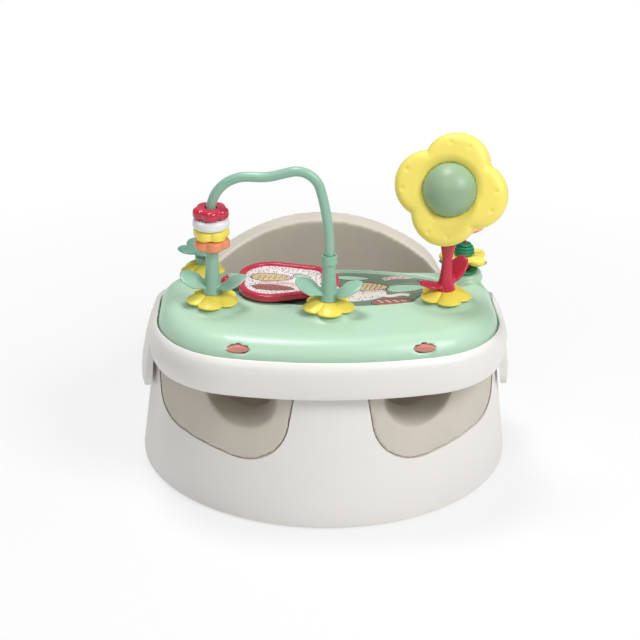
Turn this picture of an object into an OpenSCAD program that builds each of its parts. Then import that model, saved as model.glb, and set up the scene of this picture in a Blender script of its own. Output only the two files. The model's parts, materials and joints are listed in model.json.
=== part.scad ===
// Baby floor seat: a tapered plastic shell round a foam seat, a lift-off tray that
// straddles the shell, and a play panel of five toys that sits in the tray.
// Millimetres. The front of the seat is -Y, the viewer's right is +X, the floor is Z = 0.

/* [Shell] */
// Width of the base at the floor
base_w = 400; // [380:1:420]
// Depth of the base at the floor
base_d = 364; // [350:1:380]
// How far the side wall leans in for each millimetre of height
lean = 0.14; // [0.12:0.01:0.16]
// Thickness of the moulded wall
wall = 4; // [3:0.5:5]
// Height of the arm rims and the pommel
rim_z = 152; // [146:1:156]
// Height of the top of the foam back
back_z = 211; // [208:1:222]
// Radius of the arch of the back, seen from the front
back_r = 260; // [245:1:270]
// Radius of the shoulders of the back
shoulder_r = 43.5; // [40:0.5:48]
// How far the rubber feet hold the shell off the floor
foot_lift = 1.5; // [1:0.5:3]

/* [Leg openings] */
// Middle of the inner bottom corner, from the centre line
leg_in_x = 90; // [86:1:94]
// Height of the middle of the inner bottom corner
leg_in_z = 112; // [108:1:116]
// Radius of the inner bottom corner
leg_in_r = 45; // [40:1:48]
// Middle of the outer bottom corner, from the centre line
leg_out_x = 144.5; // [138:0.5:148]
// Height of the middle of the outer bottom corner
leg_out_z = 100.5; // [96:0.5:106]
// Radius of the outer bottom corner
leg_out_r = 22.5; // [18:0.5:26]
// How far the sides of the opening lean from upright, in degrees
leg_lean = 13.5; // [8:0.5:16]

/* [Foam seat] */
// Height of the seat surface
seat_z = 60; // [54:1:66]
// Thickness of the foam wall at the rim
foam_t = 25; // [20:1:30]
// Height of the underside of the foam
foam_floor_z = 32; // [30:1:36]
// How much thicker than the shell the foam lip is over the back edge
lip_h = 8; // [6:1:12]
// Gap between the foam and the shell
foam_gap = 0.8; // [0.5:0.1:1.5]
// Radius of the channel that a leg lies in
leg_r = 36; // [32:1:40]
// Middle of the leg channel, from the centre line
leg_x = 88; // [84:1:92]
// Lowest point of the leg channel
leg_z = 100; // [94:1:106]

/* [Tray] */
// Width of the play panel
panel_w = 345; // [335:1:350]
// Foremost point of the play panel, in front of the middle of the seat
panel_front = 170; // [165:1:175]
// Rear edge of the play panel, behind the middle of the seat
panel_rear = 20; // [14:1:26]
// Radius of the panel's front edge
front_r = 440; // [400:5:500]
// Radius of the panel's front corners
corner_r = 92; // [84:1:98]
// Radius of the panel's rear corners
rear_r = 45; // [38:1:52]
// Height of the play panel's top
panel_z = 200; // [196:1:204]
// Radius of the panel's rolled edge
edge_r = 22; // [18:1:24]
// Thickness of the panel and tray walls
skin = 3; // [2.4:0.1:3.5]
// How far the white rim stands out round the panel
rim_out = 10; // [8:0.5:12]
// Gap between the panel and the tray round it
panel_gap = 1; // [0.6:0.1:1.5]
// Length of a side flap along the seat
flap_len = 84; // [70:1:96]
// Height of the lower tip of a side flap
flap_z = 72; // [66:1:80]
// Travel of a panel catch when it is pressed
catch_travel = 3; // [2:0.5:4]
// Distance of a panel catch from the centre line
catch_x = 89; // [80:1:96]

/* [Toys] */
// Height of a toy boss over the panel
boss_h = 6; // [4:0.5:8]
// Radius of a petal dish
dish_r = 26.5; // [24:0.5:27]
// Radius of the pegs that hold the toys
peg_r = 7; // [6:0.5:8]
// Radius of the fixing screws' shanks
screw_r = 1.9; // [1.5:0.1:2.2]
// Gap round a fixed peg in its socket
peg_gap = 0.15; // [0.1:0.05:0.25]
// Gap round a pin that something turns on
run_gap = 0.06; // [0.03:0.01:0.1]
// Radius of the arch tube
tube_r = 4.8; // [4.4:0.1:5.2]
// Radius of the arch's first bend, which the bead climbs
bend_r = 38; // [34:1:42]
// Outside radius of the beads
bead_r = 18.2; // [17:0.1:19]
// Height of one bead
bead_h = 10.4; // [9.5:0.1:11]
// Radius of the hole in a bead
bead_hole_r = 6; // [5.7:0.1:6.4]
// Radius of the roller ball in the flower
ball_r = 28.5; // [27:0.5:30]
// Length of the page frame from its hinge
page_len = 101; // [94:1:102]
// Thickness of the page frame
page_t = 7; // [6:0.5:8]

/* [Hidden] */
$fn = 64;
eps = 0.01;

// ---- colours ----
white = [0.93, 0.92, 0.91];
mint = [0.72, 0.86, 0.76];
taupe = [0.76, 0.73, 0.69];
sage = [0.53, 0.70, 0.61];
yellow = [0.98, 0.89, 0.40];
crimson = [0.78, 0.16, 0.32];
orange = [0.93, 0.51, 0.36];
emerald = [0.13, 0.55, 0.40];
pink = [0.85, 0.47, 0.43];
steel = [0.72, 0.73, 0.75];
rubber = [0.25, 0.25, 0.26];
paper = [0.93, 0.88, 0.84];

// ---- shell ----
base_r = base_w / 2;
oval_ratio = base_d / base_w;
floor_edge = 5;
shell_floor = foot_lift;
back_shell_z = back_z - lip_h;
front_y = -300;
far = 600;

function shell_r(z) = base_r - lean * z;

// Squashes a round form into the oval of the base
module oval() {
    scale([1, oval_ratio, 1]) children();
}

// Turns a section round the oval, a quarter at a time
module oval_turned() {
    for (q = [0:90:270]) oval() rotate([0, 0, q]) rotate_extrude(angle = 90, $fn = 96) children();
}

// Points of an arc, as [x, y] pairs
function arc(cx, cy, r, a0, a1, n = 12) =
    [for (i = [0:n]) let (a = a0 + (a1 - a0) * i / n) [cx + r * cos(a), cy + r * sin(a)]];

function flip(points) = [for (i = [len(points) - 1:-1:0]) [-points[i][0], points[i][1]]];

// Extrudes an outline drawn in X and Z along Y
module through_y(y0, y1) {
    translate([0, y1, 0]) rotate([90, 0, 0]) linear_extrude(y1 - y0) children();
}

// Extrudes an outline drawn in Y and Z along X
module through_x(x0, x1) {
    translate([x0, 0, 0]) rotate([90, 0, 90]) linear_extrude(x1 - x0) children();
}

// The arched back seen from the front: crown, shoulders, then a flare out to the arms
crown_a = 64.8;
shoulder_a = 27;
function arch_side(top) =
    let (cz = top - back_r,
         sx = (back_r - shoulder_r) * cos(crown_a),
         sz = cz + (back_r - shoulder_r) * sin(crown_a),
         ex = sx + shoulder_r * cos(shoulder_a),
         ez = sz + shoulder_r * sin(shoulder_a),
         flare_r = (ez - rim_z) / (1 - sin(shoulder_a)))
    concat(
        arc(0, cz, back_r, 90, crown_a, 10),
        arc(sx, sz, shoulder_r, crown_a, shoulder_a, 8),
        arc(ex + flare_r * cos(shoulder_a), ez + flare_r * sin(shoulder_a), flare_r,
            180 + shoulder_a, 270, 8),
        [[base_r + 20, rim_z]]);

module arch_outline(top) {
    side = arch_side(top);
    polygon(concat([[base_r + 20, -20]], [for (i = [len(side) - 1:-1:1]) side[i]],
        [side[0]], flip([for (i = [len(side) - 1:-1:1]) side[i]]), [[-base_r - 20, -20]]));
}

// The arch starts just behind the tray
arch_from = panel_rear + rim_out + 4;

// Everything below the top edge: level at the arms and the pommel, arched behind them
module below_rim(top) {
    through_y(arch_from, -front_y) arch_outline(top);
    translate([-far / 2, front_y, -20]) cube([far, arch_from - front_y + 1, rim_z + 20]);
}

// One leg opening seen from the front, made smaller all round by inset
leg_span = [leg_out_x - leg_in_x, leg_out_z - leg_in_z];
leg_turn = atan2(leg_span[1], leg_span[0]) - acos((leg_in_r - leg_out_r) / norm(leg_span));
module leg_outline(inset = 0) {
    r_in = leg_in_r - inset;
    r_out = leg_out_r - inset;
    top = rim_z + 20;
    in_end = [leg_in_x - r_in * cos(leg_lean), leg_in_z - r_in * sin(leg_lean)];
    out_end = [leg_out_x + r_out * cos(leg_lean), leg_out_z - r_out * sin(leg_lean)];
    polygon(concat(
        [[in_end[0] - (top - in_end[1]) * tan(leg_lean), top]],
        arc(leg_in_x, leg_in_z, r_in, 180 + leg_lean, 360 + leg_turn, 14),
        arc(leg_out_x, leg_out_z, r_out, leg_turn, -leg_lean, 10),
        [[out_end[0] + (top - out_end[1]) * tan(leg_lean), top]]));
}

module both_sides() {
    children();
    mirror([1, 0, 0]) children();
}

// ---- shell fixing bosses ----
boss_angles = [30, 90, 150, 210, 270, 330];
boss_ring = base_r - wall - 13;
boss_r = 6;
boss_top = 40;
plate_t = 3;
plate_z = foot_lift + 2;
plate_top = plate_z + plate_t;
plate_clear = 0.5;
screw_clear = 0.3;
function boss_at(a) = [boss_ring * cos(a), boss_ring * oval_ratio * sin(a)];

module base_shell() {
    color(white) {
        difference() {
            intersection() {
                oval_turned() polygon([
                    [shell_r(shell_floor) - wall - 1, shell_floor],
                    [shell_r(shell_floor) - floor_edge / 2, shell_floor],
                    [shell_r(shell_floor) - floor_edge / 6, shell_floor + floor_edge / 4],
                    [shell_r(shell_floor + floor_edge), shell_floor + floor_edge],
                    [shell_r(back_z), back_z],
                    [shell_r(back_z) - wall, back_z],
                    [shell_r(shell_floor + floor_edge) - wall - 1, shell_floor + floor_edge]
                ]);
                below_rim(back_shell_z);
            }
            both_sides() through_y(front_y, -20) leg_outline();
        }
        difference() {
            for (a = boss_angles) shell_boss(a);
            for (a = boss_angles) translate(boss_at(a))
                translate([0, 0, plate_top]) cylinder(r = screw_r + peg_gap / 3, h = boss_top - 12);
        }
    }
}

// A screw boss and the gusset that ties it to the wall
module shell_boss(a) {
    p = boss_at(a);
    out = atan2(p[1], p[0]);
    reach = boss_ring * sqrt(pow(cos(a), 2) + pow(oval_ratio * sin(a), 2));
    wall_in = (shell_r(boss_top) - wall / 2) * reach / boss_ring;
    translate([p[0], p[1], plate_top]) cylinder(r = boss_r, h = boss_top - plate_top);
    rotate([0, 0, out]) translate([reach, -1.5, plate_top])
        cube([wall_in - reach, 3, boss_top - plate_top]);
}

// Underside plate with rings and spokes that carry the foam
ring_t = 2.4;
module base_plate() {
    plate_r = shell_r(plate_top) - wall - 1 - plate_clear;
    rib_top = foam_floor_z - 0.6;
    color(white) difference() {
        union() {
            oval() {
                translate([0, 0, plate_z]) cylinder(r = plate_r, h = plate_t, $fn = 96);
                for (r = [45, 90, 135]) difference() {
                    translate([0, 0, plate_z]) cylinder(r = r, h = rib_top - plate_z);
                    translate([0, 0, plate_top]) cylinder(r = r - ring_t, h = rib_top);
                }
            }
            for (a = [0:45:315]) rotate([0, 0, a])
                translate([0, -ring_t / 2, plate_z]) cube([120, ring_t, rib_top - plate_z]);
        }
        for (a = boss_angles) translate(boss_at(a)) {
            translate([0, 0, -eps]) cylinder(r = screw_r + screw_clear, h = 20);
            cylinder(r = 4.4, h = plate_z + 1.2);
        }
        for (p = foot_places) translate([p[0], p[1], 0])
            cylinder(r = foot_r + 0.3, h = plate_z + 1);
    }
}

module plate_screws() {
    color(steel) for (a = boss_angles) translate(boss_at(a)) {
        translate([0, 0, plate_z - 0.6]) cylinder(r = 3.8, h = 1.7);
        translate([0, 0, plate_z]) cylinder(r = screw_r, h = 20);
    }
}

foot_r = 11;
foot_angles = [0, 60, 120, 180, 240, 300];
foot_ring = boss_ring - 6;
foot_places = [for (a = foot_angles) [foot_ring * cos(a), foot_ring * oval_ratio * sin(a)]];
module foot_pads() {
    color(rubber) for (p = foot_places) translate([p[0], p[1], 0])
        cylinder(r = foot_r, h = plate_z + 0.9);
}

// ---- foam seat ----
foam_top_r = shell_r(back_shell_z) - wall - foam_gap;
foam_base_r = foam_top_r - 14;
foam_arm_z = rim_z - 0.6;
cavity_r = foam_top_r - foam_t;
seat_r = cavity_r - 30;
module seat_insert() {
    color(taupe) difference() {
        union() {
            intersection() {
                union() {
                    oval_turned() polygon([
                        [0, foam_floor_z], [foam_base_r, foam_floor_z],
                        [foam_top_r, rim_z - 20], [foam_top_r, back_z + 5], [0, back_z + 5]
                    ]);
                    foam_lip();
                }
                below_foam_rim();
            }
            both_sides() leg_tongue();
        }
        oval_turned() polygon([
            [0, seat_z], [seat_r, seat_z], [seat_r + 14, seat_z + 5], [seat_r + 24, seat_z + 18],
            [cavity_r - 1, seat_z + 42], [cavity_r, rim_z], [cavity_r, back_z + 10], [0, back_z + 10]
        ]);
        both_sides() leg_channel();
    }
}

module below_foam_rim() {
    through_y(arch_from, -front_y) arch_outline(back_z);
    translate([-far / 2, front_y, -20]) cube([far, arch_from - front_y + 1, foam_arm_z + 20]);
}

// The foam turned over the arched edge of the shell's back
module foam_lip() {
    lip_w = shell_r(back_shell_z) + 2 - foam_top_r;
    difference() {
        oval_turned() translate([foam_top_r - 1, rim_z - 20]) square([lip_w, back_z - rim_z + 25]);
        translate([0, 0, foam_gap]) below_rim(back_shell_z);
        translate([-far / 2, front_y, -1]) cube([far, arch_from + 6 - front_y, back_z + 10]);
    }
}

// The foam that fills one leg opening, level with the shell's outside
module leg_tongue() {
    inner_r = foam_base_r - 4;
    intersection() {
        oval_turned() polygon([
            [inner_r, 40], [shell_r(40) - 0.6, 40], [shell_r(rim_z) - 0.6, rim_z], [inner_r, rim_z]
        ]);
        through_y(front_y, -20) leg_outline(foam_gap);
        translate([-far / 2, front_y, 0]) cube([far, -front_y, foam_arm_z]);
    }
}

module leg_channel() {
    top = rim_z + 10;
    through_y(front_y, -cavity_r * 0.55) translate([leg_x, 0]) {
        translate([0, leg_z + leg_r]) circle(leg_r);
        translate([-leg_r, leg_z + leg_r]) square([2 * leg_r, top - leg_z - leg_r]);
    }
}

// ---- plan outline of the tray and the panel: tangent arcs ----
half_w = panel_w / 2;
front_c = [0, front_r - panel_front];
// The front corners' middle lies on a ray of the front arc and corner_r inside the side
corner_x = half_w - corner_r;
front_a = asin(corner_x / (front_r - corner_r));
corner_c = [corner_x, front_c[1] - (front_r - corner_r) * cos(front_a)];
rear_c = [half_w - rear_r, panel_rear - rear_r];

function plan(inset) =
    let (right = concat(
            arc(0, front_c[1], front_r - inset, -90, -90 + front_a, 5),
            [for (i = [1:12]) let (p = arc(corner_c[0], corner_c[1], corner_r - inset,
                -90 + front_a, 0, 12)) p[i]],
            arc(rear_c[0], rear_c[1], rear_r - inset, 0, 90, 8)))
    concat([for (i = [1:len(right) - 1]) right[i]], flip(right));

// Sweeps a closed section round the plan. Its X is the distance outside the plan.
module around_plan(section) {
    m = len(plan(0));
    n = len(section);
    polyhedron(
        points = [for (s = section) for (p = plan(-s[0])) [p[0], p[1], s[1]]],
        faces = [for (i = [0:n - 1]) for (j = [0:m - 1])
            let (k = (i + 1) % n, l = (j + 1) % m)
            [i * m + j, i * m + l, k * m + l, k * m + j]]);
}

// The same sweep, closed over the plan at the section's first and last points
module over_plan(section) {
    m = len(plan(0));
    n = len(section);
    polyhedron(
        points = [for (s = section) for (p = plan(-s[0])) [p[0], p[1], s[1]]],
        faces = concat(
            [[for (j = [m - 1:-1:0]) j]],
            [for (i = [0:n - 2]) for (j = [0:m - 1])
                let (k = i + 1, l = (j + 1) % m)
                [i * m + j, i * m + l, k * m + l, k * m + j]],
            [[for (j = [0:m - 1]) (n - 1) * m + j]]));
}

// ---- tray ----
deck_z = rim_z + 1;
rim_top = panel_z - edge_r + 5;
skirt_z = rim_z - 7;
tray_section = let (o = rim_out) [
    [-20, deck_z], [-20, deck_z + skin], [panel_gap, deck_z + skin], [panel_gap, rim_top - 1],
    [panel_gap + 1.2, rim_top], [0.5 * o, rim_top - 1.5], [0.83 * o, rim_top - 6.5],
    [o, rim_top - 15], [0.97 * o, rim_top - 24], [0.84 * o, skirt_z + 5], [0.62 * o, skirt_z],
    [0.62 * o - skin + 0.6, skirt_z + 1], [0.84 * o - skin, skirt_z + 6],
    [0.97 * o - skin, rim_top - 24], [o - skin, rim_top - 16], [0.83 * o - skin, rim_top - 8.5],
    [panel_gap + skin - 0.4, rim_top - 8], [panel_gap + skin, deck_z]
];

flap_gap = 3;
// A side flap: a shaped wing of the rim that hangs over the arm of the shell
module side_flap() {
    out_top = half_w + 4;
    difference() {
        intersection() {
            oval_turned() polygon([
                [shell_r(rim_z) + flap_gap, deck_z], [out_top - 14, deck_z], [out_top - 14, deck_z + skin],
                [out_top - 3, deck_z + skin], [out_top - 3.5, rim_top - 4], [out_top, rim_top],
                [out_top + 3.5, rim_top - 6], [shell_r(rim_z) + 5.5, rim_z + 12],
                [shell_r(rim_z) + 9, rim_z], [shell_r(135) + 11, 135], [shell_r(110) + 12.3, 110],
                [shell_r(92) + 12.3, 92], [shell_r(80) + 11, 80], [shell_r(flap_z) + 8, flap_z],
                [shell_r(flap_z) + 5, flap_z], [shell_r(80) + 5, 80], [shell_r(110) + 5.5, 110],
                [shell_r(135) + 5, 135]
            ]);
            through_x(0, far / 2) flap_outline();
        }
        // room for the panel
        translate([0, 0, deck_z + skin]) linear_extrude(60) polygon(plan(-panel_gap));
    }
    flap_guides();
}

module flap_outline() {
    r = 24;
    h = flap_len / 2;
    polygon(concat(
        arc(h - r, flap_z + r, r, -90, 0, 8), [[h, 140], [h - 14, rim_top + 2]],
        [[-h, rim_top + 2]], arc(-h + r, flap_z + r, r, 180, 270, 8)));
}

// Two low ribs inside each flap that run down the shell's side and centre the tray
module flap_guides() {
    for (y = [-flap_len / 4, flap_len / 4]) intersection() {
        oval_turned() polygon([
            [shell_r(135) + 5.5, 135], [shell_r(100) + 6, 100],
            [shell_r(100) + 1.6, 100], [shell_r(135) + 1.6, 135]
        ]);
        translate([0, y - 1.5, 90]) cube([far / 2, 3, 50]);
    }
}

// Room for the arms of the shell and the foam, under the tray
module arm_room() {
    room_r = shell_r(skirt_z - 5) + 1.6;
    oval_turned() polygon([
        [0, skirt_z - 5], [room_r, skirt_z - 5],
        [room_r - lean * (deck_z - skirt_z + 4.9), deck_z - 0.1], [0, deck_z - 0.1]
    ]);
}

module tray_body() {
    color(white) {
        difference() {
            around_plan(tray_section);
            arm_room();
        }
        translate([0, 0, deck_z]) linear_extrude(skin) polygon(plan(18));
        both_sides() side_flap();
    }
}

// ---- play panel ----
panel_low = deck_z + skin + 10;
print_c = [14, -34];
print_rx = 113;
print_ry = 45;
recess_z = panel_z - 4.5;
print_t = 1.2;
boss_low_r = 31;
boss_up_r = 19;
toy_z = panel_z + boss_h;
socket_z = panel_z - 4;
under_z = panel_z - 8;

// ---- the arch: a tube bent as a list of runs and bends ----
arch_turn = -8.4;
left_at = [-116, -78];
stem_top = toy_z + 56;
tube_in = 11;
// the bead's first bend starts at the middle height of the topmost bead
bead_gap = 0.35;
bead_z = [for (i = [0:3]) stem_top + 0.5 + i * (bead_h + bead_gap)];
bend_z = bead_z[3] + bead_h / 2;
dip_r = 60;
// slope of the run up to the crest: rises 0.28 over 0.96 along
dip_a = asin(0.28);
crest_r = 23;
down_r = 225;
down_run = 2;
flat_run = 8;
rise_run = 16;
arch_len = bend_r + flat_run + dip_r * sin(dip_a) + rise_run * cos(dip_a)
    + crest_r * (sin(dip_a) + cos(dip_a)) + down_run * sin(dip_a) + down_r * (1 - cos(dip_a));
// height at which the last bend ends upright
down_end_z = bend_z + bend_r + dip_r * (1 - cos(dip_a)) + rise_run * sin(dip_a)
    - crest_r * (cos(dip_a) - sin(dip_a)) - down_run * cos(dip_a) - down_r * sin(dip_a);
middle_at = [left_at[0] + arch_len * cos(arch_turn), left_at[1] + arch_len * sin(arch_turn)];
flower_at = [118, -70];
clover_at = [-129.5, -3];
bug_at = [144, -5];
toys = [left_at, middle_at, flower_at, clover_at, bug_at];

function toy_place(i) = [toys[i][0], toys[i][1], 0];

module print_oval(grow = 0) {
    translate(print_c) scale([1, (print_ry + grow) / (print_rx + grow)]) circle(print_rx + grow, $fn = 96);
}

panel_section = concat(
    arc(-edge_r, panel_z - edge_r, edge_r, 90, 0, 7),
    [[0, panel_low], [-skin, panel_low]],
    arc(-edge_r, panel_z - edge_r, edge_r - skin, 0, 90, 6));

// The lens-shaped mouth that a catch shows through
module lens(w, h) {
    r = (w * w / 4 + h * h / 4) / h;
    intersection() {
        translate([0, h / 2 - r]) circle(r, $fn = 96);
        translate([0, r - h / 2]) circle(r, $fn = 96);
    }
}

catch_w = 23;
catch_h = 6;
catch_z = panel_z - 10;
catch_clear = 0.6;
catch_front = front_c[1] - sqrt(pow(front_r - 4.5, 2) - pow(catch_x, 2));

module play_panel() {
    color(mint) difference() {
        union() {
            over_plan(panel_section);
            for (i = [0:4]) translate(toy_place(i)) {
                translate([0, 0, panel_z - skin / 2])
                    cylinder(r1 = boss_low_r * (i < 3 ? 1 : 0.7), r2 = boss_up_r, h = boss_h + skin / 2);
                translate([0, 0, under_z]) cylinder(r = peg_r + 4, h = 10);
            }
            translate([0, 0, recess_z - skin]) linear_extrude(skin + 4) print_oval(2);
            catch_guides();
            panel_ribs();
        }
        translate([0, 0, recess_z]) linear_extrude(20) print_oval();
        for (i = [0:4]) translate(toy_place(i)) {
            translate([0, 0, socket_z]) cylinder(r = peg_r + peg_gap, h = 30);
            translate([0, 0, under_z - 1]) cylinder(r = screw_r + screw_clear, h = 10);
        }
        both_sides() through_y(catch_front - 30, catch_front + 10)
            translate([catch_x, catch_z]) lens(catch_w + 1.4, catch_h + 2 * catch_clear);
    }
    color(mint) page_lugs();
}

// Rails under the panel that a catch slides between, and the wall its spring pushes on
module catch_guides() {
    both_sides() translate([catch_x, 0, 0]) {
        for (s = [-1, 1]) translate([s * (catch_w / 2 + 2.6) - 1.2, catch_front + 11, catch_z - 7])
            cube([2.4, 29, panel_z - skin / 2 - catch_z + 7]);
        translate([-catch_w / 2 - 3, catch_front + 38, catch_z - 7])
            cube([catch_w + 6, 2.4, panel_z - skin / 2 - catch_z + 7]);
    }
}

// Stiffening ribs under the front of the panel
module panel_ribs() {
    for (x = [-45, 45]) translate([x - 1.2, -150, panel_z - 12]) cube([2.4, 60, 10]);
    translate([-40, -128, panel_z - 12]) cube([80, 2.4, 10]);
}

module print_insert() {
    color(paper) difference() {
        translate([0, 0, recess_z + 0.1]) linear_extrude(print_t) print_oval(-0.5);
        translate([0, 0, recess_z - 1]) linear_extrude(5) page_lug_foot(0.5);
        for (i = [0:4]) translate(toy_place(i)) cylinder(r = boss_low_r + 1, h = panel_z + 10);
    }
}

// ---- page: a framed card that turns over on a pin ----
hinge_x = 9;
hinge_y0 = -56;
hinge_y1 = -12;
axis_z = panel_z + 6;
pin_r = 1.6;
barrel_r = 3.4;
lug_t = 5;
page_far_r = 34;
page_near_r = 18;
page_mid_y = -32;
page_far_x = hinge_x - page_len + page_far_r;
page_near_x = hinge_x - barrel_r - 4.5 - page_near_r;
knob_r = 5.5;
knob_x = hinge_x - page_len - 12;

module page_lug_foot(grow = 0) {
    for (y = [hinge_y0, hinge_y1 - lug_t])
        translate([hinge_x - barrel_r - grow, y - grow]) square([2 * (barrel_r + grow), lug_t + 2 * grow]);
}

module page_lugs() {
    difference() {
        for (y = [hinge_y0, hinge_y1 - lug_t]) {
            translate([hinge_x - barrel_r, y, recess_z - 0.5])
                cube([2 * barrel_r, lug_t, axis_z - recess_z + 0.5]);
            translate([hinge_x, y, axis_z]) rotate([-90, 0, 0]) cylinder(r = barrel_r, h = lug_t);
        }
        translate([hinge_x, hinge_y0 - 1, axis_z]) rotate([-90, 0, 0])
            cylinder(r = pin_r + 0.02, h = hinge_y1 - hinge_y0 + 2);
    }
}

module page_shape(inset) {
    hull() {
        for (y = [-11, 11]) translate([page_far_x, page_mid_y + y]) circle(page_far_r - inset, $fn = 48);
        for (y = [-16, 16]) translate([page_near_x, page_mid_y + y]) circle(page_near_r - inset, $fn = 48);
    }
}

frame_bar = 7;
module page_frame() {
    barrel_y0 = hinge_y0 + lug_t + 0.5;
    barrel_y1 = hinge_y1 - lug_t - 0.5;
    color(crimson) difference() {
        union() {
            translate([0, 0, axis_z - page_t / 2]) linear_extrude(page_t) difference() {
                page_shape(0);
                page_shape(frame_bar);
            }
            translate([hinge_x, barrel_y0, axis_z]) rotate([-90, 0, 0])
                cylinder(r = barrel_r, h = barrel_y1 - barrel_y0);
            translate([page_near_x + page_near_r - 3, barrel_y0, axis_z - 2.4])
                cube([hinge_x - page_near_x - page_near_r + 3, barrel_y1 - barrel_y0, 4.8]);
            translate([knob_x, page_mid_y, axis_z]) sphere(knob_r);
            translate([knob_x, page_mid_y, axis_z]) rotate([0, 90, 0]) cylinder(r = 3, h = 14);
        }
        translate([hinge_x, hinge_y0, axis_z]) rotate([-90, 0, 0])
            cylinder(r = pin_r + run_gap, h = hinge_y1 - hinge_y0);
    }
}

card_t = 1.6;
module page_card() {
    color(paper) translate([0, 0, axis_z - card_t / 2]) linear_extrude(card_t) page_shape(frame_bar + 0.1);
}

module page_pin() {
    color(steel) translate([hinge_x, hinge_y0 + 0.5, axis_z]) rotate([-90, 0, 0])
        cylinder(r = pin_r, h = hinge_y1 - hinge_y0 - 1);
}

// ---- catches ----
spring_wire = 0.6;
spring_r = 2.6;
spring_turns = 5;
catch_back = catch_front + 24;
module panel_catch() {
    color(pink) {
        through_y(catch_front - 1, catch_front + 12) translate([catch_x, catch_z]) lens(catch_w, catch_h);
        translate([catch_x - catch_w / 2 + 1, catch_front + 10, catch_z - 3]) cube([catch_w - 2, 14, 6]);
        translate([catch_x - 6, catch_front + 14, catch_z - 16]) cube([12, 3, 14]);
        translate([catch_x, catch_back - eps, catch_z]) rotate([-90, 0, 0]) cylinder(r = 1.6, h = 5);
    }
}

module panel_catch_right() {
    panel_catch();
}

module panel_catch_left() {
    mirror([1, 0, 0]) panel_catch();
}

// Closed coils of wire between a catch and the wall behind it
module catch_spring() {
    y0 = catch_back + 0.3;
    y1 = catch_front + 38 - 0.3;
    pitch = (y1 - y0 - 2 * spring_wire) / (spring_turns - 1);
    color(steel) for (i = [0:spring_turns - 1])
        translate([catch_x, y0 + spring_wire + i * pitch, catch_z]) rotate([90, 0, 0])
            rotate_extrude($fn = 32) translate([spring_r, 0]) circle(spring_wire, $fn = 16);
}

module catch_spring_right() {
    catch_spring();
}

module catch_spring_left() {
    mirror([1, 0, 0]) catch_spring();
}

// ---- dishes and stems ----
dish_h = 8;
dish_t = 2.6;
petals = 5;
slot_w = 2.4;
// A ring of petals that droop from a flat middle, with a slot between each pair
module petal_dish(r, turn = 0) {
    mid_r = peg_r + 6;
    color(yellow) translate([0, 0, toy_z + 0.1]) difference() {
        rotate_extrude() polygon([
            [0, dish_h - dish_t], [mid_r, dish_h - dish_t], [r * 0.8, dish_h * 0.42 - dish_t * 0.6],
            [r - 1.2, 0], [r, 0.8], [r - 0.4, dish_t], [r * 0.84, dish_h * 0.52], [r * 0.68, dish_h * 0.84],
            [mid_r, dish_h], [0, dish_h]
        ]);
        translate([0, 0, -1]) cylinder(r = peg_r + peg_gap, h = 20);
        for (i = [0:petals - 1]) rotate([0, 0, turn + 36 + i * 360 / petals]) {
            translate([r + 2.4, 0, -1]) cylinder(r = 5.2, h = 20);
            translate([mid_r + 3, 0, -1]) cylinder(r = slot_w / 2, h = 20);
            translate([mid_r + 3, -slot_w / 2, -1]) cube([20, slot_w, 20]);
        }
    }
}

module left_dish() {
    translate(toy_place(0)) petal_dish(dish_r, -98);
}

module middle_dish() {
    translate(toy_place(1)) petal_dish(dish_r, -88);
}

module flower_dish() {
    translate(toy_place(2)) petal_dish(dish_r, -84);
}

module clover_dish() {
    translate(toy_place(3)) petal_dish(dish_r - 3, -90);
}

// The peg below a toy, with a blind hole for its screw
peg_low = socket_z + 0.3;
module toy_peg(top) {
    difference() {
        translate([0, 0, peg_low]) cylinder(r = peg_r, h = top - peg_low);
        translate([0, 0, peg_low - 1]) cylinder(r = screw_r + 0.05, h = 17);
    }
}

module toy_screws() {
    color(steel) for (i = [0:4]) translate(toy_place(i)) {
        translate([0, 0, under_z - 2.6]) cylinder(r = 3.8, h = 2.5);
        translate([0, 0, under_z - 1]) cylinder(r = screw_r, h = 17);
    }
}

// A spoon-shaped leaf that leans out and up from a stem
module leaf(len, wide, thick, tilt, start) {
    rotate([0, -tilt, 0]) translate([start + len / 2, 0, 0])
        scale([1, wide / len, thick / len]) sphere(len / 2, $fn = 48);
}

stem_low = toy_z + 0.1 + dish_h + 0.1;
leaf_z = stem_low + 3.5;
module leafy_stem(r0, r1, top, leaf_turn) {
    toy_peg(stem_low + 6);
    difference() {
        union() {
            translate([0, 0, stem_low]) cylinder(r1 = r0 + 1.5, r2 = r0, h = 6);
            translate([0, 0, stem_low + 6]) cylinder(r1 = r0, r2 = r1, h = top - stem_low - 6);
            for (a = [0, 180]) rotate([0, 0, leaf_turn + a]) translate([0, 0, leaf_z])
                leaf(34, 23, 4.6, 24, 3);
        }
        translate([0, 0, peg_low - 1]) cylinder(r = screw_r + 0.05, h = 17);
    }
}

module left_stem() {
    color(sage) translate(toy_place(0)) difference() {
        leafy_stem(8.6, 6.8, stem_top, -10);
        translate([0, 0, stem_top - 12]) cylinder(r = tube_r + 0.1, h = 30);
    }
}

collar_h = 6;
module middle_stem() {
    color(sage) translate(toy_place(1)) difference() {
        union() {
            leafy_stem(9, 7.4, stem_top - collar_h - 1.5, -8);
            translate([0, 0, stem_top - collar_h - 2]) cylinder(r = 5.8, h = 3);
            translate([0, 0, stem_top - collar_h]) cylinder(r = 7, h = collar_h);
        }
        translate([0, 0, stem_top - 12]) cylinder(r = tube_r + 0.1, h = 30);
    }
}

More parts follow.
